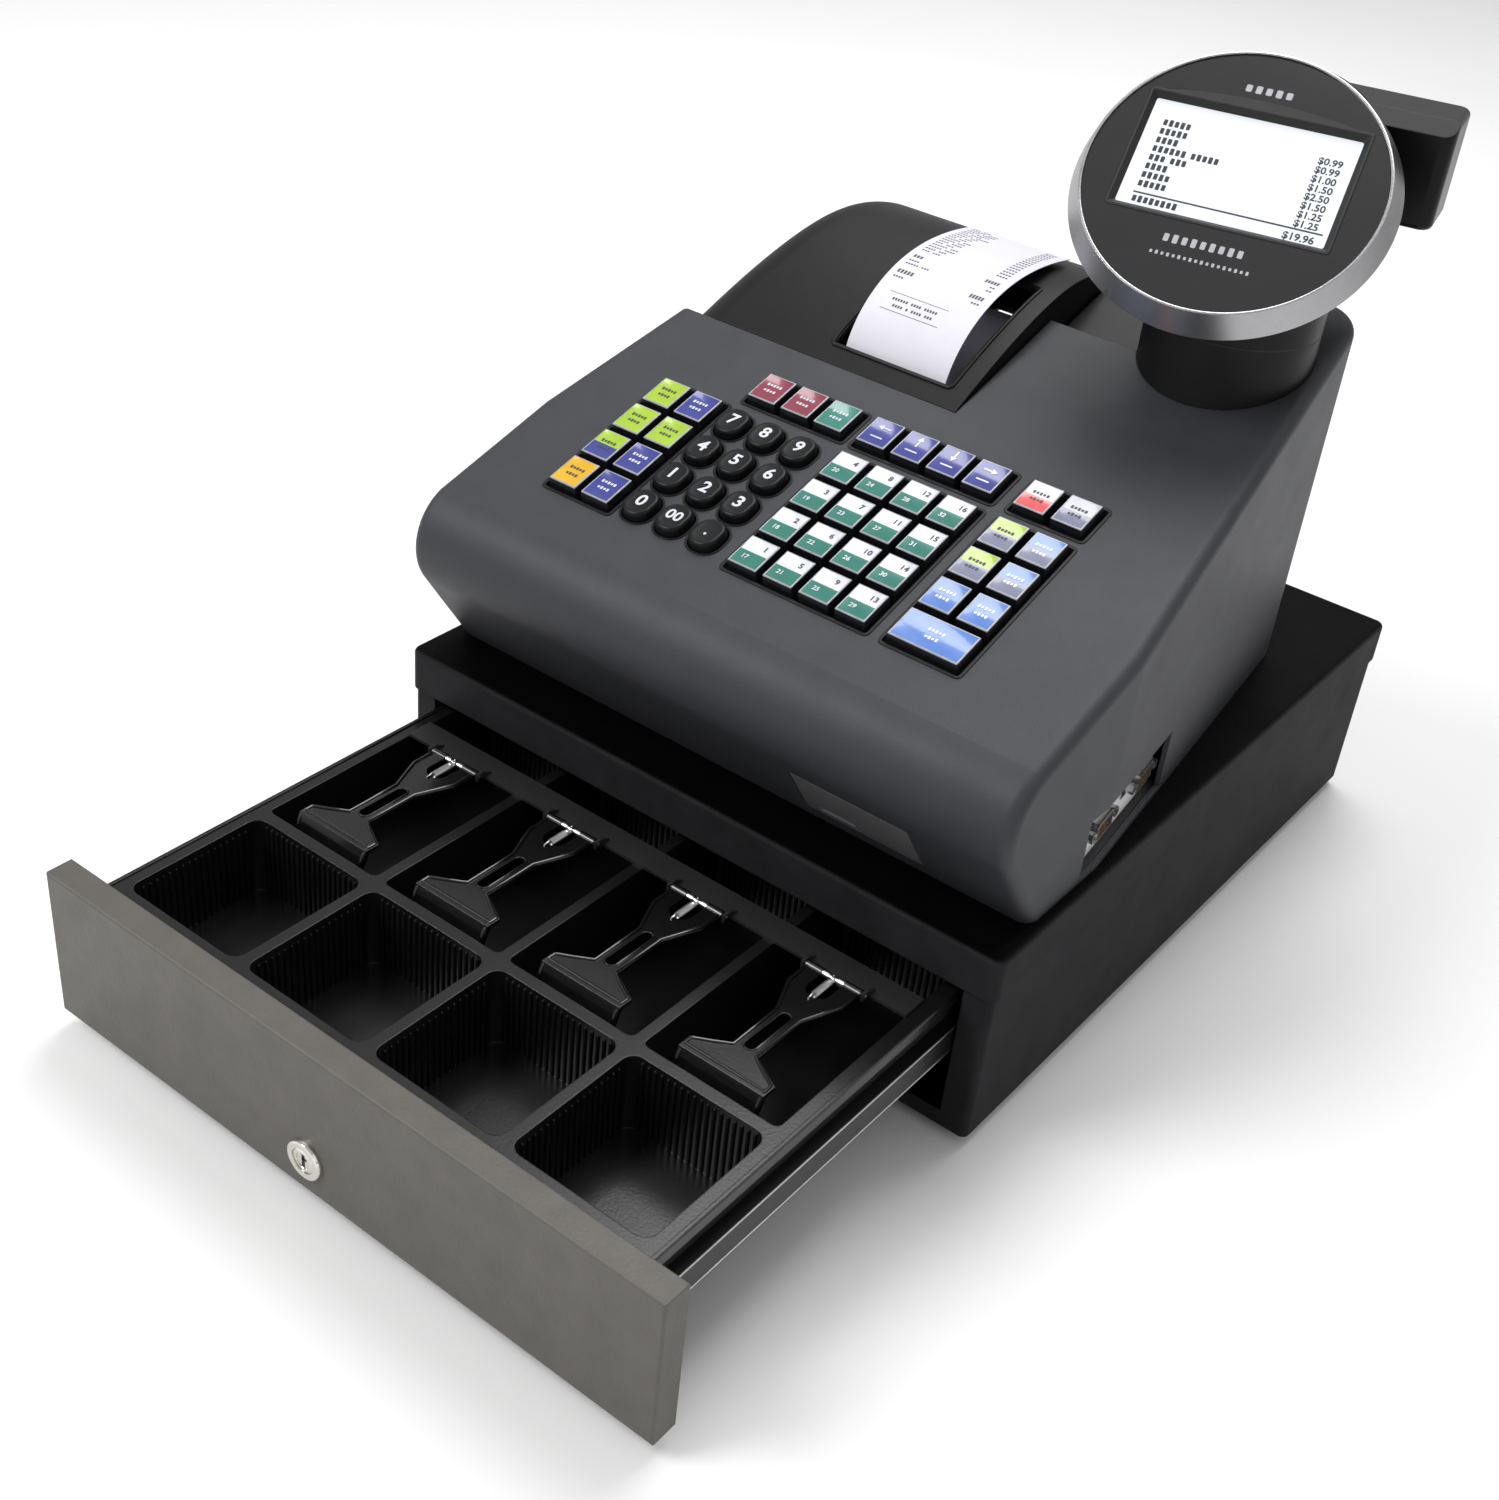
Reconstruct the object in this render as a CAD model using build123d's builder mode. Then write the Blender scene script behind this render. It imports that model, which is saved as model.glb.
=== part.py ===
from build123d import *
import os
from math import cos, radians, sin, tan

# Electronic cash register on a steel cash drawer, millimetres.
# +Z up, -Y towards the operator, +X right. It is modelled with the drawer pulled out by DRAWER_OPEN.
# Drawn from the middle of the cabinet's footprint on the counter. save() then moves every sub-part
# by SAVED_SHIFT, so the row's origin is at the bottom centre of the register, open drawer included.

# --- driving dimensions -------------------------------------------------------------------
SAVED_SHIFT = 105.1
CABINET_W, CABINET_D = 336.0, 390.0
FOOT_H = 6.0
CABINET_TOP = 105.0
LID_FLANGE = 21.5
SHEET = 1.2
POST_W = 14.0

DRAWER_OPEN = 194.0
PANEL_H, PANEL_BOTTOM, PANEL_RETURN = 75.0, 9.0, 13.0
TRAY_W, TRAY_L, TRAY_BOTTOM, TRAY_TOP = 292.0, 355.0, 36.0, 72.0
RUNNER_BOTTOM, RUNNER_H, RUNNER_W = 47.0, 15.0, 5.6
LOCK_X, LOCK_Z, LOCK_PLUG_R = -12.0, 27.0, 6.0
CAM_L, CAM_BACK = 20.5, 17.4

TILL_TOP, TILL_W, TILL_L = 78.5, 299.0, 232.0
CELL_PITCH, CELL_W = 72.5, 67.0
COIN_L, BILL_L = 70.0, 142.0
CLIP_W, CLIP_L, CLIP_T, CLIP_PIN_R = 28.0, 74.0, 1.8, 1.1

WALL = 2.5
DECK_TILT, DECK_Z = 17.5, 247.0
HOUSING_FRONT, HOUSING_REAR = -166.0, 130.0
HALF_W_FRONT, HALF_W_REAR, TAPER_START = 163.0, 134.0, -110.0
NOSE_LOW, NOSE_TIP, NOSE_HIGH = (-194.0, 146.0), (-199.6, 165.0), -182.0

KEY_PITCH_X, KEY_PITCH_Y = 19.05, 22.0
KEY_TRAVEL = 3.0
KEY_ABOVE, KEY_BELOW = 5.0, 5.0
ROW_TOP, ROW_1 = -60.0, -88.0
COL_LEFT, COL_NUM, COL_DEPT, COL_RIGHT = -110.0, -70.6, -6.6, 77.3

COVER_FRONT, COVER_RIGHT, COVER_SKIRT = -25.0, 11.0, 228.5
COVER_MID, COVER_CREST, COVER_REAR = 269.5, 277.0, 257.0
COVER_HINGE = (123.0, 231.0)
PAPER_W, PAPER_X = 57.0, -33.0
ROLL_R, ROLL_Y, ROLL_Z = 27.0, 60.0, 226.0
PLATEN_R, PLATEN_Y, PLATEN_Z = 6.0, 0.0, 231.0

TOWER_X, TOWER_Y, TOWER_R = 94.0, 70.0, 40.0
COLLAR_R, COLLAR_LOW, COLLAR_HIGH = 50.0, 308.0, 320.0
TOWER_SEAM = 287.0
YAW, TILT = 12.0, 50.0
HEAD_R, HEAD_FRONT_R, HEAD_OFFSET, HEAD_Z = 71.5, 66.4, (-10.0, -24.0), 354.5
LCD_W, LCD_H, LCD_UP = 97.0, 59.5, 6.5
BARREL_R, BARREL_DEPTH, TILT_PIN_R = 16.0, 28.0, 3.0
POD_W, POD_X, POD_Y0, POD_Y1, POD_Z0, POD_Z1 = 100.0, 20.0, 34.0, 72.0, 333.0, 381.0

# --- derived ------------------------------------------------------------------------------
LID_BOTTOM = CABINET_TOP - LID_FLANGE
CABINET_FRONT = -CABINET_D / 2
BODY_W, BODY_D = CABINET_W - 2 * SHEET - 0.4, CABINET_D - 2 * SHEET - 0.4
PANEL_FACE = CABINET_FRONT - 1.0 - PANEL_RETURN - DRAWER_OPEN
PANEL_BACK = PANEL_FACE + 1.5
TILL_FRONT = PANEL_FACE + 9.0
COIN_Y = TILL_FRONT + 12.0 + COIN_L / 2
BILL_Y = COIN_Y + COIN_L / 2 + 6.0 + BILL_L / 2
CLIP_Y = PANEL_FACE + 179.0
CLIP_Z = TILL_TOP + 2.3
CELLS_X = [CELL_PITCH * (i - 1.5) for i in range(4)]
DECK = Plane(origin=(0, 0, DECK_Z), x_dir=(1, 0, 0), z_dir=(0, -sin(radians(DECK_TILT)), cos(radians(DECK_TILT))))
YAWED = Plane(origin=(TOWER_X, TOWER_Y, 0), x_dir=(cos(radians(YAW)), sin(radians(YAW)), 0), z_dir=(0, 0, 1))
HEAD_NORMAL = YAWED.from_local_coords(Vector(0, -cos(radians(TILT)), sin(radians(TILT)))) - YAWED.origin
HEAD = Plane(
    origin=YAWED.from_local_coords(Vector(*HEAD_OFFSET, HEAD_Z)),
    x_dir=YAWED.x_dir,
    z_dir=HEAD_NORMAL,
)

os.makedirs("parts", exist_ok=True)


def deck_z(y):
    """Height of the keyboard deck's surface at depth y."""
    return DECK_Z + y * tan(radians(DECK_TILT))


def save(builder, label):
    """Label a finished sub-part and write its STEP file."""
    solid = builder.part.moved(Location((0, SAVED_SHIFT, 0)))
    solid.label = label
    export_step(solid, f"parts/{label}.step")


# --- cabinet ------------------------------------------------------------------------------
with BuildPart() as cabinet_lid:
    with BuildSketch(Plane.XY.offset(LID_BOTTOM)):
        RectangleRounded(CABINET_W, CABINET_D, 5)
    extrude(amount=LID_FLANGE)
    fillet(cabinet_lid.edges().group_by(Axis.Z)[-1], 2.5)
    with BuildSketch(Plane.XY.offset(LID_BOTTOM)):
        RectangleRounded(CABINET_W - 2 * SHEET, CABINET_D - 2 * SHEET, 5 - SHEET)
    extrude(amount=LID_FLANGE - SHEET, mode=Mode.SUBTRACT)
save(cabinet_lid, "cabinet_lid")

with BuildPart() as cabinet_body:
    body_h = CABINET_TOP - SHEET - 0.1 - FOOT_H
    inner_w = BODY_W - 2 * SHEET
    opening_w = CABINET_W - 2 * (POST_W + SHEET)
    with BuildSketch(Plane.XY.offset(FOOT_H)):
        RectangleRounded(BODY_W, BODY_D, 3.5)
    extrude(amount=body_h)
    with BuildSketch(Plane.XY.offset(FOOT_H + SHEET)):
        RectangleRounded(inner_w, BODY_D - 2 * SHEET, 2.3)
    extrude(amount=body_h, mode=Mode.SUBTRACT)
    with BuildSketch(Plane.XZ.offset(BODY_D / 2 + 1)):
        with Locations((0, FOOT_H + 8)):
            Rectangle(opening_w, body_h, align=(Align.CENTER, Align.MIN))
    extrude(amount=-6, mode=Mode.SUBTRACT)
    with BuildSketch(Plane.XY.offset(FOOT_H + SHEET)):
        for side in (-1, 1):
            with Locations((side * (opening_w / 2 + SHEET / 2), CABINET_FRONT + 11)):
                Rectangle(SHEET, 18)
    extrude(amount=LID_BOTTOM - FOOT_H)
save(cabinet_body, "cabinet_body")

with BuildPart() as cabinet_feet:
    with BuildSketch():
        with GridLocations(CABINET_W - 50, CABINET_D - 50, 2, 2):
            Circle(10)
    extrude(amount=FOOT_H)
    chamfer(cabinet_feet.edges().group_by(Axis.Z)[0], 1.2)
save(cabinet_feet, "cabinet_feet")

with BuildPart() as slide_rails:
    rail_inner = TRAY_W / 2 + 1.0
    with BuildSketch(Plane.XZ.offset(-CABINET_FRONT - 22)) as rail_section:
        for side in (-1, 1):
            with Locations((side * (inner_w / 2 - 0.75), RUNNER_BOTTOM + 7.5)):
                Rectangle(1.5, 22)
            for z in (RUNNER_BOTTOM - 2.75, RUNNER_BOTTOM + RUNNER_H + 2.75):
                with Locations((side * (inner_w / 2 + rail_inner) / 2, z)):
                    Rectangle(inner_w / 2 - rail_inner, 1.5)
    extrude(amount=-330)
save(slide_rails, "slide_rails")

with BuildPart() as drawer_latch:
    with BuildSketch(Plane.XY.offset(FOOT_H + SHEET)):
        with Locations((30, BODY_D / 2 - SHEET - 18)):
            Rectangle(46, 36)
    extrude(amount=18)
    with BuildSketch(Plane.XY.offset(FOOT_H + SHEET + 18)):
        with Locations((30, BODY_D / 2 - SHEET - 22)):
            Rectangle(30, 22)
    extrude(amount=22)
save(drawer_latch, "drawer_latch")

# --- drawer -------------------------------------------------------------------------------
with BuildPart() as drawer_front:
    with BuildSketch(Plane.XZ.offset(-PANEL_FACE)):
        with Locations((0, PANEL_BOTTOM + PANEL_H / 2)):
            Rectangle(CABINET_W, PANEL_H)
    extrude(amount=-PANEL_RETURN)
    fillet(drawer_front.edges().group_by(Axis.Y)[0], 1.2)
    with BuildSketch(Plane.XZ.offset(-PANEL_BACK)):
        with Locations((0, PANEL_BOTTOM + PANEL_H / 2)):
            Rectangle(CABINET_W - 3, PANEL_H - 3)
    extrude(amount=-PANEL_RETURN, mode=Mode.SUBTRACT)
    with BuildSketch(Plane.XZ.offset(-PANEL_FACE + 1)):
        with Locations((LOCK_X, LOCK_Z)):
            Circle(LOCK_PLUG_R + 1.55)
    extrude(amount=-6, mode=Mode.SUBTRACT)
save(drawer_front, "drawer_front")

with BuildPart() as drawer_tray:
    with BuildSketch(Plane.XY.offset(TRAY_BOTTOM)):
        with Locations((0, PANEL_BACK + TRAY_L / 2)):
            Rectangle(TRAY_W, TRAY_L)
    extrude(amount=TRAY_TOP - TRAY_BOTTOM)
    offset(amount=-SHEET, openings=drawer_tray.faces().sort_by(Axis.Z)[-1])
save(drawer_tray, "drawer_tray")

with BuildPart() as drawer_runners:
    with BuildSketch(Plane.XZ.offset(-PANEL_BACK)):
        for side in (-1, 1):
            with Locations((side * (TRAY_W / 2 + RUNNER_W / 2), RUNNER_BOTTOM + RUNNER_H / 2)):
                Rectangle(RUNNER_W, RUNNER_H)
    extrude(amount=-TRAY_L)
save(drawer_runners, "drawer_runners")

with BuildPart() as lock_barrel:
    with BuildSketch(Plane.XZ.offset(-PANEL_FACE)):
        with Locations((LOCK_X, LOCK_Z)):
            Circle(9.2)
            Circle(LOCK_PLUG_R + 0.05, mode=Mode.SUBTRACT)
    extrude(amount=2.2)
    fillet(lock_barrel.edges().group_by(Axis.Y)[0].sort_by(SortBy.RADIUS)[-1], 1.2)
    with BuildSketch(Plane.XZ.offset(-PANEL_FACE)):
        with Locations((LOCK_X, LOCK_Z)):
            Circle(LOCK_PLUG_R + 1.5)
            Circle(LOCK_PLUG_R + 0.05, mode=Mode.SUBTRACT)
    extrude(amount=-14)
save(lock_barrel, "lock_barrel")

with BuildPart() as lock_plug:
    with BuildSketch(Plane.XZ.offset(-PANEL_FACE + 1.6)):
        with Locations((LOCK_X, LOCK_Z)):
            Circle(LOCK_PLUG_R)
    extrude(amount=-1.6 - CAM_BACK)
    with BuildSketch(Plane.XZ.offset(-PANEL_FACE + 1.6)):
        with Locations((LOCK_X, LOCK_Z)):
            Rectangle(1.8, 7)
    extrude(amount=-8, mode=Mode.SUBTRACT)
    # The cam points sideways when the lock is open. Turned down, it hooks behind the shut cabinet's sill.
    with BuildSketch(Plane.XZ.offset(-PANEL_FACE - CAM_BACK)):
        with Locations((LOCK_X - CAM_L / 2 + 4.5, LOCK_Z)):
            SlotOverall(CAM_L, 9)
    extrude(amount=-2)
save(lock_plug, "lock_plug")

# --- till insert --------------------------------------------------------------------------
with BuildPart() as till:
    till_mid = TILL_FRONT + TILL_L / 2
    with BuildSketch(Plane.XY.offset(TRAY_BOTTOM + SHEET)):
        with Locations((0, till_mid)):
            Rectangle(TRAY_W - 2 * SHEET - 2, TILL_L - 2)
    extrude(amount=TILL_TOP - TRAY_BOTTOM - SHEET)
    with BuildSketch(Plane.XY.offset(TRAY_TOP + 0.5)):
        with Locations((0, till_mid)):
            RectangleRounded(TILL_W, TILL_L, 4)
    extrude(amount=TILL_TOP - TRAY_TOP - 0.5)
    fillet(till.edges().group_by(Axis.Z)[-1], 1.5)
    with BuildSketch(Plane.XY.offset(TILL_TOP)) as cells:
        for x in CELLS_X:
            with Locations((x, COIN_Y)):
                RectangleRounded(CELL_W, COIN_L, 6)
            with Locations((x, BILL_Y)):
                RectangleRounded(CELL_W, BILL_L, 3)
    extrude(amount=-(TILL_TOP - TRAY_BOTTOM - SHEET - 2.5), mode=Mode.SUBTRACT)
save(till, "till")

with BuildSketch(Plane.YZ) as ear_section:
    with BuildLine():
        Polyline(
            (CLIP_Y - 2, TILL_TOP + 0.6),
            (CLIP_Y + 8, TILL_TOP + 0.6),
            (CLIP_Y + 8, TILL_TOP + 1.4),
            (CLIP_Y + 2, TILL_TOP + 4.3),
            (CLIP_Y - 2, TILL_TOP + 4.3),
            close=True,
        )
    make_face()
    with Locations((CLIP_Y, CLIP_Z)):
        Circle(CLIP_PIN_R, mode=Mode.SUBTRACT)

with BuildPart() as clip_bar:
    with BuildSketch(Plane.XY.offset(TILL_TOP)):
        with Locations((0, CLIP_Y + 10)):
            Rectangle(TILL_W - 14, 14)
    extrude(amount=1.4)
    for x in CELLS_X:
        for side in (-1, 1):
            ear_x = x + side * (CLIP_W / 2 + 1.2)
            extrude(Pos(ear_x, 0, 0) * ear_section.sketch, amount=0.7, both=True)
save(clip_bar, "clip_bar")

with BuildPart() as clip_pins:
    for x in CELLS_X:
        with BuildSketch(Plane.YZ.offset(x - CLIP_W / 2 - 2.4)):
            with Locations((CLIP_Y, CLIP_Z)):
                Circle(CLIP_PIN_R)
        extrude(amount=CLIP_W + 4.8)
save(clip_pins, "clip_pins")


def bill_clip(x):
    """Hold-down clip: a forked arm on its pin, with a wide foot bent down at its free end."""
    with BuildPart() as clip:
        with BuildSketch(Plane.XY.offset(CLIP_Z - CLIP_T / 2)):
            with BuildLine():
                half = CLIP_W / 2 - 0.2
                right = [(half, 0), (half, -14), (6.5, -32), (6.5, -60), (21, -68), (21, -CLIP_L)]
                Polyline(*[(x + u, CLIP_Y + v) for u, v in right],
                         *[(x - u, CLIP_Y + v) for u, v in reversed(right)], close=True)
            make_face()
            with Locations((x, CLIP_Y - 5)):
                RectangleRounded(11, 22, 5, mode=Mode.SUBTRACT)
            with Locations((x, CLIP_Y - 45)):
                SlotOverall(28, 5, rotation=90, mode=Mode.SUBTRACT)
        extrude(amount=CLIP_T)
        with BuildSketch(Plane.YZ.offset(x - 21)):
            with BuildLine():
                foot_y, foot_z = CLIP_Y - CLIP_L + 0.6, CLIP_Z - CLIP_T / 2
                Polyline((foot_y, foot_z + CLIP_T), (foot_y, foot_z), (foot_y - 4.6, foot_z - 9),
                         (foot_y - 6.4, foot_z - 8.2), (foot_y - 1.8, foot_z + CLIP_T), close=True)
            make_face()
        extrude(amount=42)
        with BuildSketch(Plane.YZ.offset(x - CLIP_W / 2 + 0.2)):
            with Locations((CLIP_Y, CLIP_Z)):
                Circle(2.1)
        extrude(amount=CLIP_W - 0.4)
        with BuildSketch(Plane.YZ.offset(x - 5.5)):
            with Locations((CLIP_Y, CLIP_Z)):
                Circle(2.3)
        extrude(amount=11, mode=Mode.SUBTRACT)
        with BuildSketch(Plane.YZ.offset(x - CLIP_W)):
            with Locations((CLIP_Y, CLIP_Z)):
                Circle(CLIP_PIN_R + 0.08)
        extrude(amount=2 * CLIP_W, mode=Mode.SUBTRACT)
    return clip


for number, cell_x in enumerate(CELLS_X, start=1):
    save(bill_clip(cell_x), f"bill_clip_{number}")

# --- register housing ---------------------------------------------------------------------
def plan_outline(inset):
    """Sketch of the housing seen from above: parallel sides that taper in behind TAPER_START."""
    with BuildSketch(Plane.XY.offset(CABINET_TOP - 5)) as plan:
        with BuildLine():
            front = -260.0
            right = [(HALF_W_FRONT, front), (HALF_W_FRONT, TAPER_START), (HALF_W_REAR, HOUSING_REAR)]
            Polyline(*right, *[(-x, y) for x, y in reversed(right)], close=True)
        make_face()
        fillet(plan.vertices().group_by(Axis.Y)[-1], 20)
        if inset:
            offset(amount=-inset)
    return plan.sketch


def side_outline(inset):
    """Sketch of the housing seen from the side: undercut front, round nose, straight deck."""
    with BuildSketch(Plane.YZ) as side:
        with BuildLine():
            Line((HOUSING_FRONT, CABINET_TOP), NOSE_LOW)
            ThreePointArc(NOSE_LOW, NOSE_TIP, (NOSE_HIGH, deck_z(NOSE_HIGH)))
            Line((NOSE_HIGH, deck_z(NOSE_HIGH)), (HOUSING_REAR, deck_z(HOUSING_REAR)))
            Line((HOUSING_REAR, deck_z(HOUSING_REAR)), (HOUSING_REAR, CABINET_TOP))
            Line((HOUSING_REAR, CABINET_TOP), (HOUSING_FRONT, CABINET_TOP))
        make_face()
        if inset:
            offset(amount=-inset, kind=Kind.INTERSECTION)
    return side.sketch


def housing_solid(inset):
    """The housing's outer form, or the same form drawn in by the wall."""
    with BuildPart() as solid:
        extrude(side_outline(inset), amount=180, both=True)
        extrude(plan_outline(inset), amount=260, mode=Mode.INTERSECT)
    return solid.part


def key_columns(first, count):
    return [first + KEY_PITCH_X * i for i in range(count)]


def key_rows(count):
    return [ROW_1 - KEY_PITCH_Y * i for i in range(count)]


# Each block of square keys: column centres, row centres.
KEY_BLOCKS = {
    "left_keys": (key_columns(COL_LEFT, 2), key_rows(4)),
    "department_keys": (key_columns(COL_DEPT, 4), key_rows(4)),
    "payment_keys": (key_columns(COL_RIGHT, 2), key_rows(3)),
    "shift_keys": (key_columns(COL_NUM + 2, 3), [ROW_TOP]),
    "arrow_keys": (key_columns(COL_DEPT, 4), [ROW_TOP]),
    "mode_keys": (key_columns(COL_RIGHT, 2), [ROW_TOP]),
}
TOTAL_KEY = (COL_RIGHT + KEY_PITCH_X / 2, ROW_1 - 3 * KEY_PITCH_Y)
NUMBER_KEYS = ["7", "8", "9", "4", "5", "6", "1", "2", "3", "0", "00", "point"]
NUMBER_PLACES = [(x, y) for y in key_rows(4) for x in key_columns(COL_NUM, 3)]


def block_rectangle(columns, rows, margin):
    """Centre and size of the well round a block of keys."""
    width = columns[-1] - columns[0] + KEY_PITCH_X + margin
    height = rows[0] - rows[-1] + KEY_PITCH_Y + margin
    return ((columns[0] + columns[-1]) / 2, (rows[0] + rows[-1]) / 2), width, height


outer_form = housing_solid(0)
inner_form = housing_solid(WALL)
HATCH_W, HATCH_L, HATCH_X, HATCH_T = 60.0, 30.0, 82.0, 2.0
undercut = Vector(0, NOSE_LOW[0] - HOUSING_FRONT, NOSE_LOW[1] - CABINET_TOP).normalized()
HATCH_MID = Vector(HATCH_X, HOUSING_FRONT, CABINET_TOP) + undercut * 26.0
HATCH = Plane(origin=HATCH_MID, x_dir=(1, 0, 0), z_dir=Vector(1, 0, 0).cross(undercut))
PORT_Y0, PORT_Y1, PORT_Z0, PORT_Z1 = -126.0, -38.0, 108.0, 138.0
NOTCH_X1, NOTCH_Y0, NOTCH_DROP = 58.0, 52.0, 12.0

with BuildPart() as upper_housing:
    add(outer_form)
    deck_sides = upper_housing.edges().filter_by_position(Axis.Z, 120, 300).filter_by(
        lambda e: e.center().Y < 90 and abs(e.center().X) > 130
    )
    fillet(deck_sides, 6)
    add(inner_form, mode=Mode.SUBTRACT)
    with BuildSketch(Plane.XY.offset(CABINET_TOP)):
        with BuildLine():
            low = [(HALF_W_FRONT - WALL, HOUSING_FRONT + WALL), (HALF_W_FRONT - WALL, TAPER_START),
                   (HALF_W_REAR - WALL + 0.3, HOUSING_REAR - WALL)]
            Polyline(*low, *[(-x, y) for x, y in reversed(low)], close=True)
        make_face()
    extrude(amount=WALL + 0.1, mode=Mode.SUBTRACT)
    # Opening for the printer cover, lower along the rear wall to let its hinged skirt swing.
    with BuildSketch(Plane.XY.offset(COVER_SKIRT - 0.5)):
        with Locations((COVER_RIGHT + 0.5, COVER_FRONT - 0.5)):
            Rectangle(300, 300, align=(Align.MAX, Align.MIN))
    extrude(amount=120, mode=Mode.SUBTRACT)
    with BuildSketch(Plane.XY.offset(COVER_SKIRT - 7)):
        with Locations((COVER_RIGHT + 0.5, HOUSING_REAR - 14)):
            Rectangle(300, 60, align=(Align.MAX, Align.MIN))
    extrude(amount=20, mode=Mode.SUBTRACT)
    with BuildSketch(DECK.offset(-NOTCH_DROP - WALL)):
        with Locations((COVER_RIGHT, NOTCH_Y0 / cos(radians(DECK_TILT)))):
            Rectangle(NOTCH_X1 - COVER_RIGHT, 120, align=(Align.MIN, Align.MIN))
    extrude(amount=60, mode=Mode.SUBTRACT)
    # Key wells, the tower's hole, the hatch and the connector window.
    with BuildSketch(DECK.offset(-12)):
        for columns, rows in KEY_BLOCKS.values():
            centre, width, height = block_rectangle(columns, rows, 1.2)
            with Locations(centre):
                RectangleRounded(width, height, 1.5)
        with Locations(TOTAL_KEY):
            RectangleRounded(2 * KEY_PITCH_X + 1.2, KEY_PITCH_Y + 1.2, 1.5)
        with Locations(*NUMBER_PLACES):
            RectangleRounded(16.4, 19.4, 7.4)
    extrude(amount=20, mode=Mode.SUBTRACT)
    with BuildSketch(Plane.XY.offset(220)):
        with Locations((TOWER_X, TOWER_Y)):
            Circle(TOWER_R + 0.1)
    extrude(amount=100, mode=Mode.SUBTRACT)
    with BuildSketch(HATCH.offset(-8)):
        Rectangle(HATCH_W + 1.2, HATCH_L + 2.0)
    extrude(amount=12, mode=Mode.SUBTRACT)
    with BuildSketch(Plane.YZ.offset(HALF_W_FRONT - 14)):
        with Locations(((PORT_Y0 + PORT_Y1) / 2, (PORT_Z0 + PORT_Z1) / 2)):
            Rectangle(PORT_Y1 - PORT_Y0, PORT_Z1 - PORT_Z0)
    extrude(amount=30, mode=Mode.SUBTRACT)
save(upper_housing, "upper_housing")

with BuildPart() as base_plate:
    with BuildSketch(Plane.XY.offset(CABINET_TOP)):
        with BuildLine():
            gap = WALL + 0.4
            low = [(HALF_W_FRONT - gap, HOUSING_FRONT + gap + 1), (HALF_W_FRONT - gap, TAPER_START),
                   (HALF_W_REAR - gap, HOUSING_REAR - gap - 0.5)]
            Polyline(*low, *[(-x, y) for x, y in reversed(low)], close=True)
        make_face()
    extrude(amount=WALL)
    with BuildSketch(Plane.XY.offset(CABINET_TOP + WALL)):
        with GridLocations(200, 180, 2, 2):
            Circle(5)
    extrude(amount=12)
save(base_plate, "base_plate")

with BuildPart() as rear_deck:
    with BuildSketch(DECK.offset(-NOTCH_DROP)):
        with Locations((COVER_RIGHT + 1, NOTCH_Y0 / cos(radians(DECK_TILT)) + 1)):
            Rectangle(NOTCH_X1 - COVER_RIGHT - 2, 74, align=(Align.MIN, Align.MIN))
    extrude(amount=-WALL)
    with BuildSketch(Plane.XY.offset(200)):
        with Locations((TOWER_X, TOWER_Y)):
            Circle(TOWER_R + 0.3)
    extrude(amount=100, mode=Mode.SUBTRACT)
save(rear_deck, "rear_deck")

# --- printer ------------------------------------------------------------------------------
def cover_outline(inset):
    """Sketch of the printer cover from the side: a low arch that springs from the deck."""
    with BuildSketch(Plane.YZ) as side:
        front, rear, skirt = COVER_FRONT + inset, HOUSING_REAR - inset, COVER_SKIRT - (5 if inset else 0)
        start = (front, deck_z(front) - inset)
        with BuildLine():
            Spline(start, (40, COVER_MID - inset), (85, COVER_CREST - inset), (rear, COVER_REAR - inset),
                   tangents=[(1, 0.55), (0.75, -1)])
            Line((rear, COVER_REAR - inset), (rear, skirt))
            Line((rear, skirt), (front, skirt))
            Line((front, skirt), start)
        make_face()
    return side.sketch


def cover_form(inset):
    with BuildPart() as form:
        with BuildSketch(Plane.XY.offset(COVER_SKIRT - 20)):
            with Locations((COVER_RIGHT - inset, COVER_FRONT - 5)):
                Rectangle(240, 240, align=(Align.MAX, Align.MIN))
        extrude(amount=120)
        extrude(cover_outline(inset), amount=180, both=True, mode=Mode.INTERSECT)
        extrude(plan_outline(inset), amount=260, mode=Mode.INTERSECT)
        crest = form.edges().filter_by_position(Axis.Z, 240, 300).filter_by(
            lambda e: e.center().X < -120 and e.length > 60
        )
        fillet(crest.sort_by(Axis.Z)[-1], 24 - inset)
    return form.part


WINDOW_X0, WINDOW_X1, WINDOW_Y0, WINDOW_Y1 = -66.0, 0.0, -14.0, 56.0
hinge_y, hinge_z = COVER_HINGE
rear_inside = HOUSING_REAR - WALL + 0.5
with BuildSketch(Plane.YZ) as lug:
    with BuildLine():
        below = [(hinge_y - 3.5, hinge_z - 2.4), (rear_inside, hinge_z - 2.4)]
        Polyline(*below, (rear_inside, hinge_z + 12), (hinge_y - 3.5, hinge_z + 4), close=True)
    make_face()
    with Locations(COVER_HINGE):
        Circle(2.05, mode=Mode.SUBTRACT)

with BuildPart() as printer_cover:
    add(cover_form(0))
    add(cover_form(WALL), mode=Mode.SUBTRACT)
    with BuildSketch(Plane.XY.offset(COVER_SKIRT)):
        with Locations(((WINDOW_X0 + WINDOW_X1) / 2, (WINDOW_Y0 + WINDOW_Y1) / 2)):
            Rectangle(WINDOW_X1 - WINDOW_X0, WINDOW_Y1 - WINDOW_Y0)
    extrude(amount=80, mode=Mode.SUBTRACT)
    for lug_x in (WINDOW_X0 + 8, WINDOW_X1 - 8):
        extrude(Pos(lug_x, 0, 0) * lug.sketch, amount=2.5, both=True)
save(printer_cover, "printer_cover")

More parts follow.
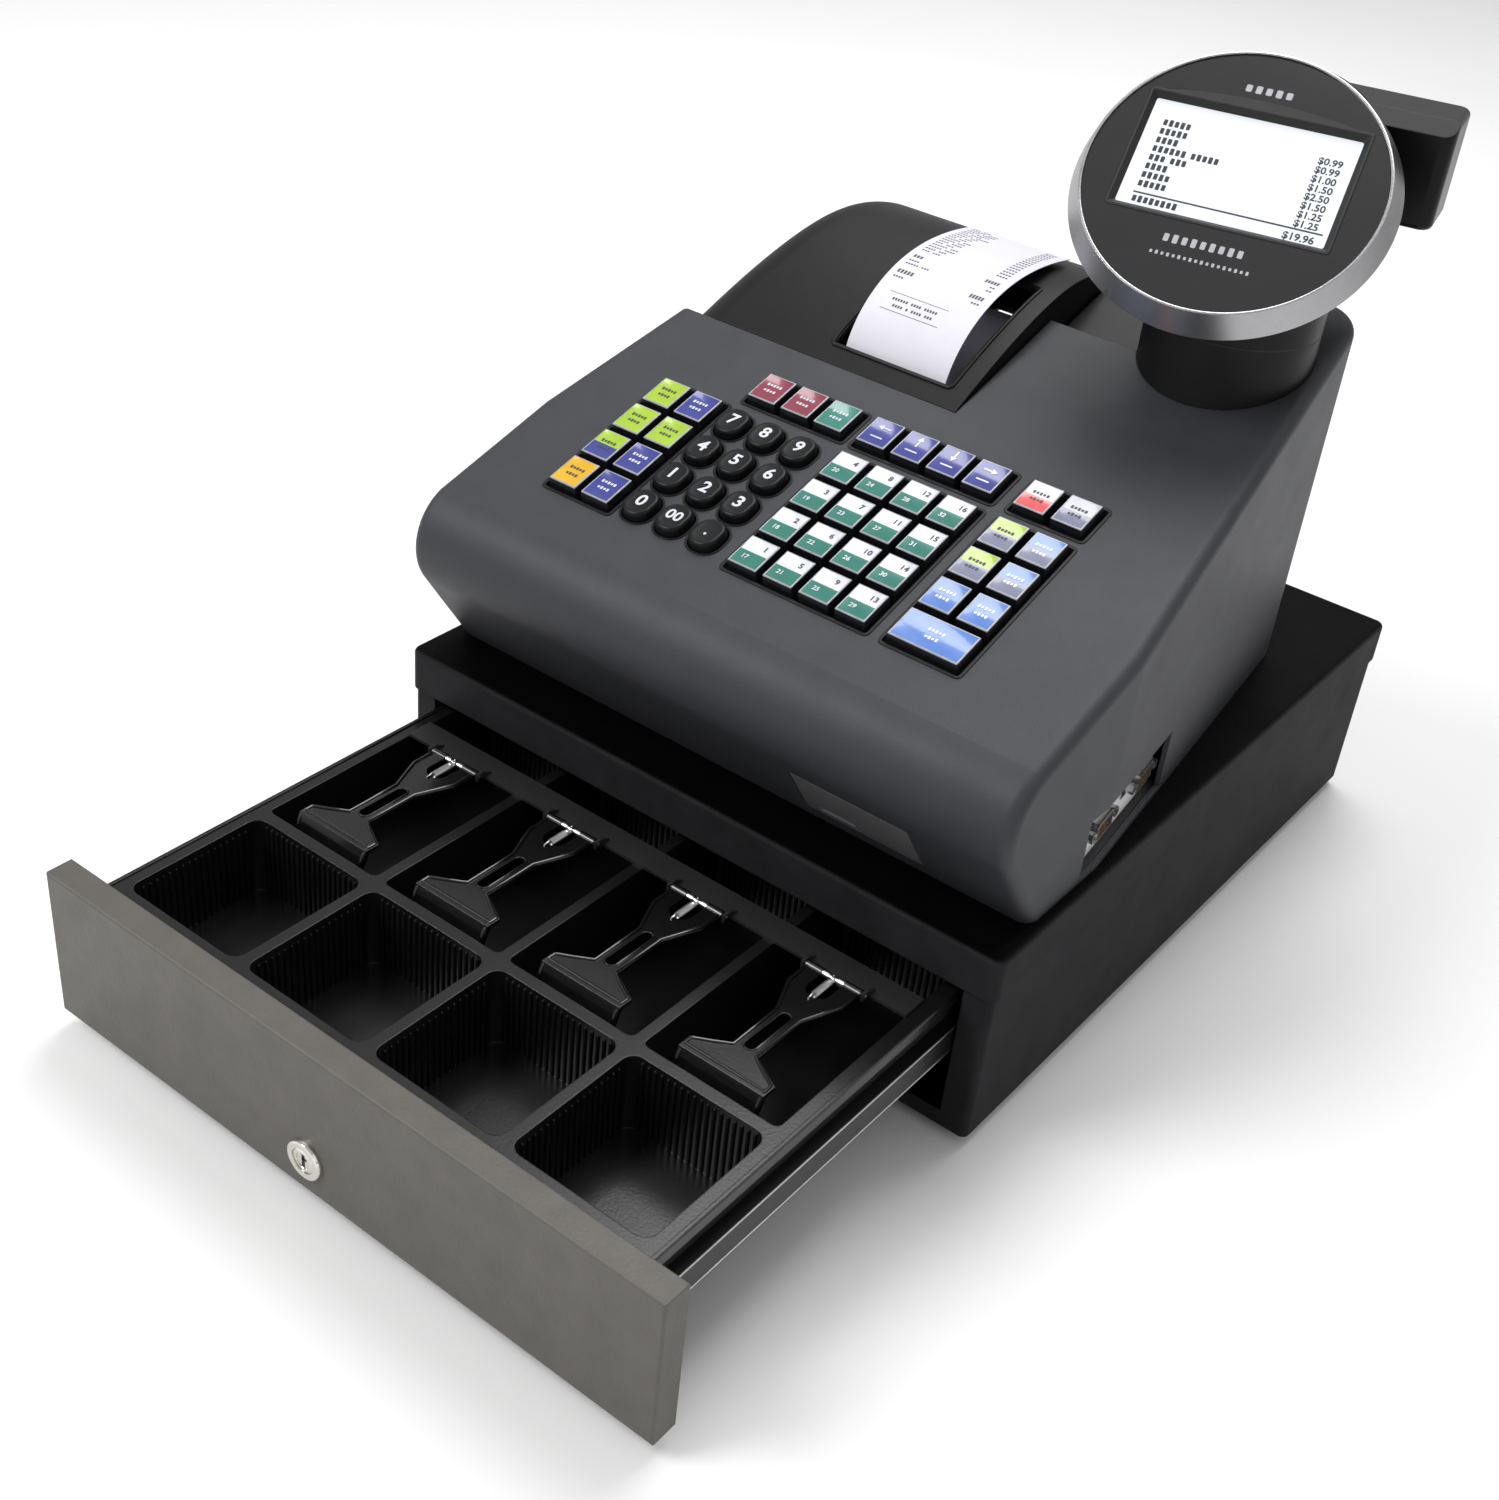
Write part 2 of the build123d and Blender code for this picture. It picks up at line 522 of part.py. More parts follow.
FRAME_X0, FRAME_X1, FRAME_T = WINDOW_X0 - 4.0, WINDOW_X1 + 4.0, 2.0
FRAME_BASE = CABINET_TOP + WALL
with BuildSketch(Plane.YZ) as cheek:
    with BuildLine():
        lower = [(-16, FRAME_BASE), (112, FRAME_BASE), (112, 222), (hinge_y - 4, hinge_z - 4)]
        boss = [(hinge_y + 1, hinge_z - 3.6), (hinge_y + 3, hinge_z - 2), (hinge_y + 3, hinge_z + 3.5)]
        upper = [(hinge_y - 5, hinge_z + 3.5), (104, 228), (92, 228), (80, 234), (-6, 234), (-16, 226)]
        Polyline(*lower, *boss, *upper, close=True)
    make_face()
    with Locations(COVER_HINGE):
        Circle(1.95, mode=Mode.SUBTRACT)
    with Locations((ROLL_Y, ROLL_Z)):
        Circle(4.1, mode=Mode.SUBTRACT)
    with Locations((PLATEN_Y, PLATEN_Z)):
        Circle(2.6, mode=Mode.SUBTRACT)

with BuildPart() as printer_frame:
    extrude(Pos(FRAME_X0, 0, 0) * cheek.sketch, amount=FRAME_T)
    extrude(Pos(FRAME_X1 - FRAME_T, 0, 0) * cheek.sketch, amount=FRAME_T)
    with BuildSketch(Plane.XY.offset(FRAME_BASE)):
        with Locations(((FRAME_X0 + FRAME_X1) / 2, 30)):
            Rectangle(FRAME_X1 - FRAME_X0, 90)
    extrude(amount=2)
save(printer_frame, "printer_frame")

with BuildPart() as cover_hinge_pin:
    with BuildSketch(Plane.YZ.offset(FRAME_X0 - 1)):
        with Locations(COVER_HINGE):
            Circle(1.95)
    extrude(amount=FRAME_X1 - FRAME_X0 + 2)
save(cover_hinge_pin, "cover_hinge_pin")

with BuildPart() as print_head:
    inner_left, inner_right = FRAME_X0 + FRAME_T, FRAME_X1 - FRAME_T
    with BuildSketch(Plane.YZ.offset(inner_left)):
        with BuildLine():
            Polyline((-12, 205), (18, 205), (18, 226), (9, 232), (-12, 224), close=True)
        make_face()
        with Locations((PLATEN_Y, PLATEN_Z)):
            Circle(PLATEN_R + 0.6, mode=Mode.SUBTRACT)
    extrude(amount=inner_right - inner_left)
save(print_head, "print_head")

with BuildPart() as platen_roller:
    with BuildSketch(Plane.YZ.offset(inner_left + 0.6)):
        with Locations((PLATEN_Y, PLATEN_Z)):
            Circle(PLATEN_R)
    extrude(amount=inner_right - inner_left - 1.2)
    with BuildSketch(Plane.YZ.offset(FRAME_X0 - 1)):
        with Locations((PLATEN_Y, PLATEN_Z)):
            Circle(2.55)
    extrude(amount=FRAME_X1 - FRAME_X0 + 2)
save(platen_roller, "platen_roller")

with BuildPart() as paper_roll:
    with BuildSketch(Plane.YZ.offset(PAPER_X - PAPER_W / 2)):
        with Locations((ROLL_Y, ROLL_Z)):
            Circle(ROLL_R)
            Circle(6, mode=Mode.SUBTRACT)
    extrude(amount=PAPER_W)
save(paper_roll, "paper_roll")

with BuildPart() as roll_spindle:
    with BuildSketch(Plane.YZ.offset(FRAME_X0 - 1.5)):
        with Locations((ROLL_Y, ROLL_Z)):
            Circle(4.0)
    extrude(amount=FRAME_X1 - FRAME_X0 + 3)
    with BuildSketch(Plane.YZ.offset(PAPER_X - PAPER_W / 2 - 1.5)):
        with Locations((ROLL_Y, ROLL_Z)):
            Circle(5.9)
    extrude(amount=PAPER_W + 3)
save(roll_spindle, "roll_spindle")

with BuildPart() as tear_bar:
    with BuildSketch(Plane.YZ.offset(WINDOW_X0 + 2)):
        with BuildLine():
            Polyline((WINDOW_Y0, 236), (WINDOW_Y0 + 1, 236), (WINDOW_Y0 + 1, 241.5), (WINDOW_Y0, 243), close=True)
        make_face()
    extrude(amount=WINDOW_X1 - WINDOW_X0 - 4)
save(tear_bar, "tear_bar")

PAPER_T = 0.4
with BuildPart() as receipt_strip:
    with BuildSketch(Plane.YZ.offset(PAPER_X - PAPER_W / 2)):
        with BuildLine() as paper_path:
            Spline((-11, 243), (-4, 256.5), (14, 271.5), (48, 281.2), (92, 279.0))
        trace(paper_path.line, PAPER_T)
    extrude(amount=PAPER_W)
save(receipt_strip, "receipt_strip")

# --- electronics --------------------------------------------------------------------------
with BuildPart() as switch_board:
    with BuildSketch(DECK.offset(-11.4)):
        with Locations((-7, -107)):
            Rectangle(232, 124)
    extrude(amount=1.6)
save(switch_board, "switch_board")

with BuildPart() as main_board:
    with BuildSketch(Plane.XY.offset(CABINET_TOP + 14.5)):
        with Locations((30, -68)):
            Rectangle(150, 100)
    extrude(amount=1.6)
    with BuildSketch(Plane.XY.offset(CABINET_TOP + 16.1)):
        with Locations((10, -50), (60, -70), (60, -40)):
            Rectangle(26, 18)
    extrude(amount=5)
    with BuildSketch(Plane.XY.offset(CABINET_TOP + WALL)):
        with Locations((30, -68)):
            with GridLocations(130, 84, 2, 2):
                Circle(3)
    extrude(amount=12)
save(main_board, "main_board")

with BuildPart() as power_supply:
    with BuildSketch(Plane.XY.offset(CABINET_TOP + WALL)):
        with Locations((-104, 40)):
            Rectangle(66, 54)
    extrude(amount=34)
    with BuildSketch(Plane.XY.offset(CABINET_TOP + WALL + 34)):
        with Locations((-104, 40)):
            Rectangle(44, 54)
    extrude(amount=10)
save(power_supply, "power_supply")

PORT_DEPTH = 6.5
PORT_CENTRES = [(3.5, 125.5), (49.0, 125.5)]
# The plate runs along the tapered wall. Its own x is the distance behind TAPER_START, its own y the height.
taper_run = Vector(HALF_W_REAR - HALF_W_FRONT, HOUSING_REAR - TAPER_START, 0).normalized()
PORT = Plane(
    origin=(HALF_W_FRONT, TAPER_START, 0),
    x_dir=taper_run,
    z_dir=taper_run.cross(Vector(0, 0, 1)),
).offset(-PORT_DEPTH)
with BuildPart() as port_plate:
    with BuildSketch(PORT):
        with Locations(((PORT_Y0 + PORT_Y1) / 2 - TAPER_START, (CABINET_TOP + WALL + PORT_Z1 + 2) / 2)):
            Rectangle(PORT_Y1 - PORT_Y0 + 4, PORT_Z1 + 2 - CABINET_TOP - WALL)
        with Locations(*PORT_CENTRES):
            Rectangle(19, 11, mode=Mode.SUBTRACT)
    extrude(amount=-1.2)
save(port_plate, "port_plate")

with BuildPart() as serial_connectors:
    for centre in PORT_CENTRES:
        with BuildSketch(PORT):
            with Locations(centre):
                RectangleRounded(30.8, 12.5, 1.2)
        extrude(amount=0.8)
        with BuildSketch(PORT.offset(-8)):
            with Locations(centre):
                Trapezoid(18.6, 9.0, 80)
        extrude(amount=8)
        with BuildSketch(PORT.offset(0.8)):
            with Locations(centre):
                Trapezoid(18.6, 9.0, 80)
                Trapezoid(17.2, 7.6, 80, mode=Mode.SUBTRACT)
        extrude(amount=4.2)
    for x, z in PORT_CENTRES:
        with BuildSketch(PORT.offset(0.8)):
            with Locations((x - 12.5, z), (x + 12.5, z)):
                RegularPolygon(2.6, 6)
                Circle(1.3, mode=Mode.SUBTRACT)
        extrude(amount=4.5)
save(serial_connectors, "serial_connectors")

hatch_round = Plane(
    origin=HATCH.from_local_coords(Vector(-HATCH_W / 2, -HATCH_L / 2 + HATCH_T / 2, -HATCH_T / 2)),
    x_dir=HATCH.y_dir,
    z_dir=HATCH.x_dir,
)
with BuildPart() as front_hatch:
    with BuildSketch(HATCH.offset(-HATCH_T)):
        with Locations((0, HATCH_T / 4)):
            Rectangle(HATCH_W, HATCH_L - HATCH_T / 2)
    extrude(amount=HATCH_T)
    with BuildSketch(hatch_round):
        Circle(HATCH_T / 2)
    extrude(amount=HATCH_W)
    with BuildSketch(HATCH):
        with Locations((-HATCH_W / 4 + 2, -HATCH_L / 2 + 4.5)):
            SlotOverall(20, 4.5)
    extrude(amount=-1.2, mode=Mode.SUBTRACT)
save(front_hatch, "front_hatch")

# --- display tower ------------------------------------------------------------------------
SPIGOT_R = 33.5
with BuildPart() as tower_socket:
    with BuildSketch(Plane.XY.offset(226)):
        with Locations((TOWER_X, TOWER_Y)):
            Circle(TOWER_R)
            Circle(SPIGOT_R + 0.08, mode=Mode.SUBTRACT)
    extrude(amount=TOWER_SEAM - 226)
save(tower_socket, "tower_socket")

HEAD_GAP_PLANE = -21.0
with BuildPart() as tower_neck:
    with BuildSketch(YAWED.offset(TOWER_SEAM + 0.4)):
        Circle(TOWER_R)
    extrude(amount=120)
    with BuildSketch(YAWED.offset(COLLAR_LOW)):
        Circle(TOWER_R)
    with BuildSketch(YAWED.offset(COLLAR_HIGH)):
        Circle(COLLAR_R)
    loft()
    with BuildSketch(YAWED.offset(COLLAR_HIGH)):
        Circle(COLLAR_R)
    extrude(amount=90)
    with BuildSketch(YAWED.offset(TOWER_SEAM - 22)):
        Circle(SPIGOT_R)
    extrude(amount=24)
    with BuildSketch(HEAD.offset(HEAD_GAP_PLANE)):
        Rectangle(300, 300)
    extrude(amount=150, mode=Mode.SUBTRACT)
    barrel_plane = Plane(
        origin=HEAD.from_local_coords(Vector(-HEAD_OFFSET[0] - 31, 0, -BARREL_DEPTH)),
        x_dir=HEAD.y_dir,
        z_dir=HEAD.x_dir,
    )
    with BuildSketch(barrel_plane):
        Circle(BARREL_R + 0.5)
        with Locations((0, 0)):
            Rectangle(2 * BARREL_R + 1, 40, align=(Align.CENTER, Align.MIN))
    extrude(amount=62, mode=Mode.SUBTRACT)
    with BuildSketch(barrel_plane.offset(-8)):
        Circle(TILT_PIN_R + 0.02)
    extrude(amount=78, mode=Mode.SUBTRACT)
save(tower_neck, "tower_neck")

with BuildPart() as tilt_pin:
    with BuildSketch(barrel_plane.offset(-7.5)):
        Circle(TILT_PIN_R)
    extrude(amount=77)
save(tilt_pin, "tilt_pin")

with BuildPart() as head_shell:
    with BuildSketch(HEAD.offset(-15)):
        Circle(65)
    extrude(amount=12)
    with BuildSketch(HEAD.offset(-12.5)):
        Circle(62)
    extrude(amount=9.5, mode=Mode.SUBTRACT)
    with BuildSketch(barrel_plane.offset(0.6)):
        Circle(BARREL_R)
        Rectangle(2 * BARREL_R - 4, 14, align=(Align.CENTER, Align.MIN))
    extrude(amount=60.8)
    with BuildSketch(HEAD.offset(-12.5)):
        Circle(62)
    extrude(amount=9.5, mode=Mode.SUBTRACT)
    with BuildSketch(barrel_plane.offset(-8)):
        Circle(TILT_PIN_R + 0.05)
    extrude(amount=78, mode=Mode.SUBTRACT)
save(head_shell, "head_shell")

with BuildPart() as head_ring:
    with BuildSketch(HEAD.offset(-12)):
        Circle(HEAD_R)
    with BuildSketch(HEAD):
        Circle(HEAD_FRONT_R)
    loft()
    with BuildSketch(HEAD.offset(-13)):
        Circle(65.1)
    extrude(amount=20, mode=Mode.SUBTRACT)
save(head_ring, "head_ring")

with BuildPart() as head_face:
    with BuildSketch(HEAD.offset(-3)):
        Circle(65)
        with Locations((0, LCD_UP)):
            Rectangle(LCD_W, LCD_H, mode=Mode.SUBTRACT)
    extrude(amount=2.2)
save(head_face, "head_face")

with BuildPart() as lcd_panel:
    with BuildSketch(HEAD.offset(-5)):
        with Locations((0, LCD_UP)):
            Rectangle(LCD_W + 1, LCD_H + 1)
    extrude(amount=2)
save(lcd_panel, "lcd_panel")

with BuildPart() as customer_display:
    with BuildSketch(YAWED.offset(POD_Z0)):
        with Locations((POD_X, (POD_Y0 + POD_Y1) / 2)):
            RectangleRounded(POD_W, POD_Y1 - POD_Y0, 6)
    extrude(amount=POD_Z1 - POD_Z0)
    fillet(customer_display.edges().group_by(Axis.Z)[-1] + customer_display.edges().group_by(Axis.Z)[0], 3)
    with BuildSketch(YAWED.offset(POD_Z0 - 10)):
        Circle(COLLAR_R + 0.1)
    extrude(amount=80, mode=Mode.SUBTRACT)
    tilted_back = HEAD.y_dir.rotate(Axis((0, 0, 0), HEAD.x_dir), -5)
    with BuildSketch(Plane(
        origin=HEAD.from_local_coords(Vector(0, 0, -BARREL_DEPTH)),
        x_dir=HEAD.x_dir,
        z_dir=HEAD.x_dir.cross(tilted_back),
    ).offset(11.5)):
        Rectangle(300, 300)
    extrude(amount=100, mode=Mode.SUBTRACT)
    window_plane = Plane(
        origin=YAWED.from_local_coords(Vector(POD_X, POD_Y1, (POD_Z0 + POD_Z1) / 2)),
        x_dir=YAWED.x_dir * -1,
        z_dir=YAWED.y_dir,
    )
    with BuildSketch(window_plane):
        RectangleRounded(POD_W - 26, 30, 3)
    extrude(amount=-2, mode=Mode.SUBTRACT)
save(customer_display, "customer_display")

# --- keys ---------------------------------------------------------------------------------
CAP_X, CAP_Y = KEY_PITCH_X - 1.6, KEY_PITCH_Y - 2.0


def key_caps(places, width, depth, corner):
    """Caps that stand KEY_ABOVE the deck and reach KEY_BELOW it, with sloping sides."""
    with BuildPart() as caps:
        with BuildSketch(DECK.offset(-KEY_BELOW)):
            with Locations(*places):
                RectangleRounded(width, depth, corner)
        extrude(amount=KEY_ABOVE + KEY_BELOW, taper=6)
    return caps


def block_places(label):
    columns, rows = KEY_BLOCKS[label]
    return [(x, y) for y in rows for x in columns]


for label in ("left_keys", "department_keys", "payment_keys"):
    save(key_caps(block_places(label), CAP_X, CAP_Y, 1.2), label)
top_row = block_places("shift_keys") + block_places("arrow_keys") + block_places("mode_keys")
save(key_caps(top_row, CAP_X, CAP_Y, 1.2), "top_row_keys")
save(key_caps([TOTAL_KEY], 2 * KEY_PITCH_X - 1.6, CAP_Y, 1.2), "total_key")
for name, place in zip(NUMBER_KEYS, NUMBER_PLACES):
    save(key_caps([place], 15.4, 18.4, 6.9), f"key_{name}")
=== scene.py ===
from math import atan2, cos, hypot, pi, radians, sin

import bmesh
import bpy
from mathutils import Matrix, Vector
from mathutils.bvhtree import BVHTree


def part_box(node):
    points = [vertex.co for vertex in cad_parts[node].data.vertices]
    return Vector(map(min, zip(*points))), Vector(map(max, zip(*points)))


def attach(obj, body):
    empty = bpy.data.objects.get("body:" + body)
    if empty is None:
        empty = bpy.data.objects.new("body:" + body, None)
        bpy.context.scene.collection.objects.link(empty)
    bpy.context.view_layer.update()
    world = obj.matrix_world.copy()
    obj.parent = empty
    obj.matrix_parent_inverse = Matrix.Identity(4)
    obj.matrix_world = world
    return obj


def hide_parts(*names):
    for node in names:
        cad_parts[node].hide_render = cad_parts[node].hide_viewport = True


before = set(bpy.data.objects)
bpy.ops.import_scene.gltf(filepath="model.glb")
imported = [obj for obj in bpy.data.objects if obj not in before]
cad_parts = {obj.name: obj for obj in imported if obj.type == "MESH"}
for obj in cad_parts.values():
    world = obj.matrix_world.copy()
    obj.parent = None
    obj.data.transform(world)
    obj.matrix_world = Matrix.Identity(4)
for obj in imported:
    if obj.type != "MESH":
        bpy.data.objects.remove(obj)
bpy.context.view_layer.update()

# Shapes are worked out in millimetres in the CAD's drawing frame (middle of the cabinet's footprint),
# and ROW turns that into the row frame in metres.
MILLIMETRE = 0.001
LID_LOW, LID_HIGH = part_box("cabinet_lid")
ROW = Matrix.Translation((0, (LID_LOW.y + LID_HIGH.y) / 2, 0)) @ Matrix.Scale(MILLIMETRE, 4)

# --- CAD dimensions that the pieces follow, in millimetres and degrees ----------------------
DECK_TILT, DECK_Z = 17.5, 247.0
TOWER, TOWER_R, YAW, TILT = Vector((94.0, 70.0, 0.0)), 40.0, 12.0, 50.0
HEAD_OFFSET, HEAD_Z = Vector((-10.0, -24.0, 0.0)), 354.5
POD_X, POD_BACK, POD_Z = 20.0, 72.0, 357.0
PANEL_FACE, LOCK_X, LOCK_Z = -403.0, -12.0, 27.0
TILL_TOP, TILL_FLOOR = 78.5, 39.8
CELLS_X = [-108.75, -36.25, 36.25, 108.75]
CUPS_FRONT = -381.9
CLIP_Y, CLIP_Z = -224.0, 80.8
PITCH_X, PITCH_Y = 19.05, 22.0
BODY_WIDE, BODY_DEEP, LID_EDGE = 333.2, 387.2, 83.4
PORT_RUN, PORT_START, PORT_DEPTH = Vector((-29.0, 240.0, 0.0)), Vector((163.0, -110.0, 0.0)), 6.5
PORT_CENTRES, PORT_Z = (3.5, 49.0), 125.5
WINDOW_LEFT, WINDOW_RIGHT, WINDOW_FRONT, WINDOW_BACK = -66.0, 0.0, -14.0, 56.0
PAPER_MIDDLE = -33.0
UP = Vector((0, 0, 1))


def plane(origin, x_dir, z_dir):
    """Matrix from a plane's own millimetres to the row frame."""
    z = Vector(z_dir).normalized()
    x = Vector(x_dir).normalized()
    m = Matrix((x, z.cross(x), z)).transposed().to_4x4()
    m.translation = Vector(origin)
    return ROW @ m


deck_tilt, head_yaw, head_tilt = radians(DECK_TILT), radians(YAW), radians(TILT)
DECK = plane((0, 0, DECK_Z), (1, 0, 0), (0, -sin(deck_tilt), cos(deck_tilt)))
yaw_x, yaw_y = Vector((cos(head_yaw), sin(head_yaw), 0)), Vector((-sin(head_yaw), cos(head_yaw), 0))
NECK = plane(TOWER, yaw_x, UP)
head_origin = TOWER + yaw_x * HEAD_OFFSET.x + yaw_y * HEAD_OFFSET.y + UP * HEAD_Z
HEAD = plane(head_origin, yaw_x, yaw_y * -cos(head_tilt) + UP * sin(head_tilt))
POD = plane(TOWER + yaw_x * POD_X + yaw_y * POD_BACK + UP * POD_Z, -yaw_x, yaw_y)
port_run = PORT_RUN.normalized()
port_normal = port_run.cross(UP)
PORT = plane(PORT_START - port_normal * PORT_DEPTH, port_run, port_normal)
FRONT = plane((LOCK_X, PANEL_FACE, LOCK_Z), (1, 0, 0), (0, -1, 0))
SIDEWAYS = plane((0, 0, 0), (0, 1, 0), (1, 0, 0))


# --- mesh building ------------------------------------------------------------------------
class Shape:
    """Vertices, faces and material numbers of one piece, in a plane's millimetres."""

    def __init__(self):
        self.v, self.f, self.m = [], [], []

    def face(self, ids, mat=0):
        self.f.append(tuple(ids))
        self.m.append(mat)

    def ring(self, points):
        start = len(self.v)
        self.v += [Vector(p) for p in points]
        return list(range(start, len(self.v)))

    def bridge(self, a, b, mat=0):
        """Joins two closed rings of equal length."""
        n = len(a)
        for i in range(n):
            j = (i + 1) % n
            self.face((a[i], a[j], b[j], b[i]), mat)

    def loft(self, rings, mat=0, mats=None, caps=(True, True)):
        """Joins rings of equal length into one skin; mats gives one number per band, then the last cap."""
        ids = [self.ring(r) for r in rings]
        mats = mats or [mat] * len(ids)
        for k in range(len(ids) - 1):
            self.bridge(ids[k], ids[k + 1], mats[k])
        if caps[0]:
            self.face(reversed(ids[0]), mats[0])
        if caps[1]:
            self.face(ids[-1], mats[-1])
        return ids

    def block(self, outline, low, high, bevel=0.0, mat=0):
        """A flat plate of that outline (a function of inset) with a bevelled upper edge."""
        rings = [[(x, y, low) for x, y in outline(0)], [(x, y, high - bevel) for x, y in outline(0)]]
        if bevel:
            rings.append([(x, y, high - bevel * 0.3) for x, y in outline(bevel * 0.3)])
            rings.append([(x, y, high) for x, y in outline(bevel)])
        self.loft(rings, mat)

    def tube(self, path, radius, sides=8, closed=False):
        """A round rod along a path of points."""
        path = [Vector(p) for p in path]
        n = len(path)
        normal = None
        rings = []
        for i, p in enumerate(path):
            ahead = path[(i + 1) % n] if closed or i < n - 1 else p
            behind = path[i - 1] if closed or i > 0 else p
            d = (ahead - behind).normalized()
            if normal is None:
                normal = d.orthogonal().normalized()
            normal = (normal - d * normal.dot(d)).normalized()
            side = d.cross(normal)
            turns = [2 * pi * k / sides for k in range(sides)]
            rings.append([p + normal * radius * cos(a) + side * radius * sin(a) for a in turns])
        if closed:
            self.loop_of([self.ring(r) for r in rings])
        else:
            self.loft(rings)

    def lathe(self, profile, sides=64, centre=(0, 0)):
        """Turns a closed profile of (radius, height) about the plane's normal."""
        turns = [2 * pi * k / sides for k in range(sides)]
        self.loop_of([self.ring([(centre[0] + r * cos(a), centre[1] + r * sin(a), h) for a in turns])
                      for r, h in profile])

    def loop_of(self, ids):
        """Joins rings in a closed loop, the last to the first."""
        for k in range(len(ids)):
            self.bridge(ids[k], ids[(k + 1) % len(ids)])

    def text(self, string, size, x, y, h, mat=0, thick=0.08):
        """Solid letters or digits centred at x, y, with half their thickness above h and half below."""
        verts, faces = glyphs(string)
        start = len(self.v)
        self.v += [Vector((x + v[0] * size, y + v[1] * size, h + v[2] * thick)) for v in verts]
        for f in faces:
            self.face([start + i for i in f], mat)

    def build(self, name, matrix, materials, body, slot, replaces=(), angle=32):
        """Makes the piece, rides it on a CAD body, and hides the CAD nodes that it stands for."""
        mesh = bpy.data.meshes.new(name)
        mesh.from_pydata([matrix @ p for p in self.v], [], self.f)
        for m in materials if isinstance(materials, list) else [materials]:
            mesh.materials.append(m)
        mesh.polygons.foreach_set("material_index", self.m)
        bm = bmesh.new()
        bm.from_mesh(mesh)
        bmesh.ops.recalc_face_normals(bm, faces=bm.faces)
        bm.to_mesh(mesh)
        bm.free()
        mesh.polygons.foreach_set("use_smooth", [True] * len(mesh.polygons))
        mesh.set_sharp_from_angle(angle=radians(angle))
        mesh.update()
        obj = bpy.data.objects.new(name.replace(" ", "_"), mesh)
        bpy.context.scene.collection.objects.link(obj)
        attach(obj, body)
        for node in replaces:
            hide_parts(node)


_glyphs = {}
LETTER_BOLDNESS = 0.022


def glyphs(string):
    """Solid letters of font size 1 and depth 1, centred on the origin, as vertices and faces."""
    if string not in _glyphs:
        curve = bpy.data.curves.new("glyph", "FONT")
        curve.body, curve.align_x, curve.align_y = string, "CENTER", "CENTER"
        curve.size, curve.extrude, curve.resolution_u, curve.offset = 1.0, 0.5, 3, LETTER_BOLDNESS
        obj = bpy.data.objects.new("glyph", curve)
        mesh = bpy.data.meshes.new_from_object(obj)
        _glyphs[string] = ([tuple(v.co) for v in mesh.vertices],
                           [tuple(p.vertices) for p in mesh.polygons])
        bpy.data.objects.remove(obj)
        bpy.data.meshes.remove(mesh)
        bpy.data.curves.remove(curve)
    return _glyphs[string]


def rounded(w, d, r, cx=0.0, cy=0.0, n=5):
    """Outline function of a rounded rectangle; its argument draws the outline in."""
    def outline(inset=0.0):
        hw, hd, rr = w / 2 - inset, d / 2 - inset, max(r - inset, 0.05)
        points = []
        for k, (sx, sy) in enumerate(((1, 1), (-1, 1), (-1, -1), (1, -1))):
            for i in range(n + 1):
                a = pi / 2 * (k + i / n)
                points.append((cx + sx * (hw - rr) + rr * cos(a), cy + sy * (hd - rr) + rr * sin(a)))
        return points
    return outline


def frame_band(shape, outline, width, low, high):
    """A closed rim round an outline: width wide, from low to high."""
    corners = [(0, low), (0, high), (-width, high), (-width, low)]
    shape.loop_of([shape.ring([(x, y, h) for x, y in outline(inset)]) for inset, h in corners])


# --- materials ----------------------------------------------------------------------------
def srgb(r, g, b):
    return tuple(((c / 255 + 0.055) / 1.055) ** 2.4 if c > 10 else c / 255 / 12.92 for c in (r, g, b))


def noise(nodes, scale, detail):
    """A noise texture node of that scale and detail."""
    texture = nodes.new("ShaderNodeTexNoise")
    texture.inputs["Scale"].default_value = scale
    texture.inputs["Detail"].default_value = detail
    return texture


def patchy_tone(nodes, links, place, colour, vary, patch):
    """The colour in soft patches, lighter and darker by vary."""
    patches = noise(nodes, patch, 5.0)
    links.new(place, patches.inputs["Vector"])
    ramp = nodes.new("ShaderNodeValToRGB")
    dark, light = ramp.color_ramp.elements
    dark.position, light.position = 0.3, 0.7
    dark.color = (*[c * (1 - vary) for c in colour], 1)
    light.color = (*[min(1, c * (1 + vary)) for c in colour], 1)
    links.new(patches.outputs["Fac"], ramp.inputs["Fac"])
    return ramp.outputs["Color"]


def darker_above(nodes, links, tone, top):
    """Paints shade onto upward faces: the same colour made darker where the normal points up."""
    parts = nodes.new("ShaderNodeSeparateXYZ")
    links.new(nodes.new("ShaderNodeTexCoord").outputs["Normal"], parts.inputs["Vector"])
    upward = nodes.new("ShaderNodeMapRange")
    upward.inputs["From Min"].default_value, upward.inputs["From Max"].default_value = 0.5, 0.95
    upward.inputs["To Min"].default_value, upward.inputs["To Max"].default_value = 1.0, top
    links.new(parts.outputs["Z"], upward.inputs["Value"])
    shade = nodes.new("ShaderNodeMix")
    shade.data_type, shade.blend_type = "RGBA", "MULTIPLY"
    shade.inputs["Factor"].default_value = 1.0
    links.new(tone, shade.inputs["A"])
    links.new(upward.outputs["Result"], shade.inputs["B"])
    return shade.outputs["Result"]


def uneven_roughness(nodes, links, place, rough, rough_vary, patch):
    """Roughness that drifts by rough_vary either way."""
    spread = nodes.new("ShaderNodeMapRange")
    spread.inputs["To Min"].default_value = rough * (1 - rough_vary)
    spread.inputs["To Max"].default_value = min(1.0, rough * (1 + rough_vary))
    smear = noise(nodes, patch * 0.6, 8.0)
    links.new(place, smear.inputs["Vector"])
    links.new(smear.outputs["Fac"], spread.inputs["Value"])
    return spread.outputs["Result"]


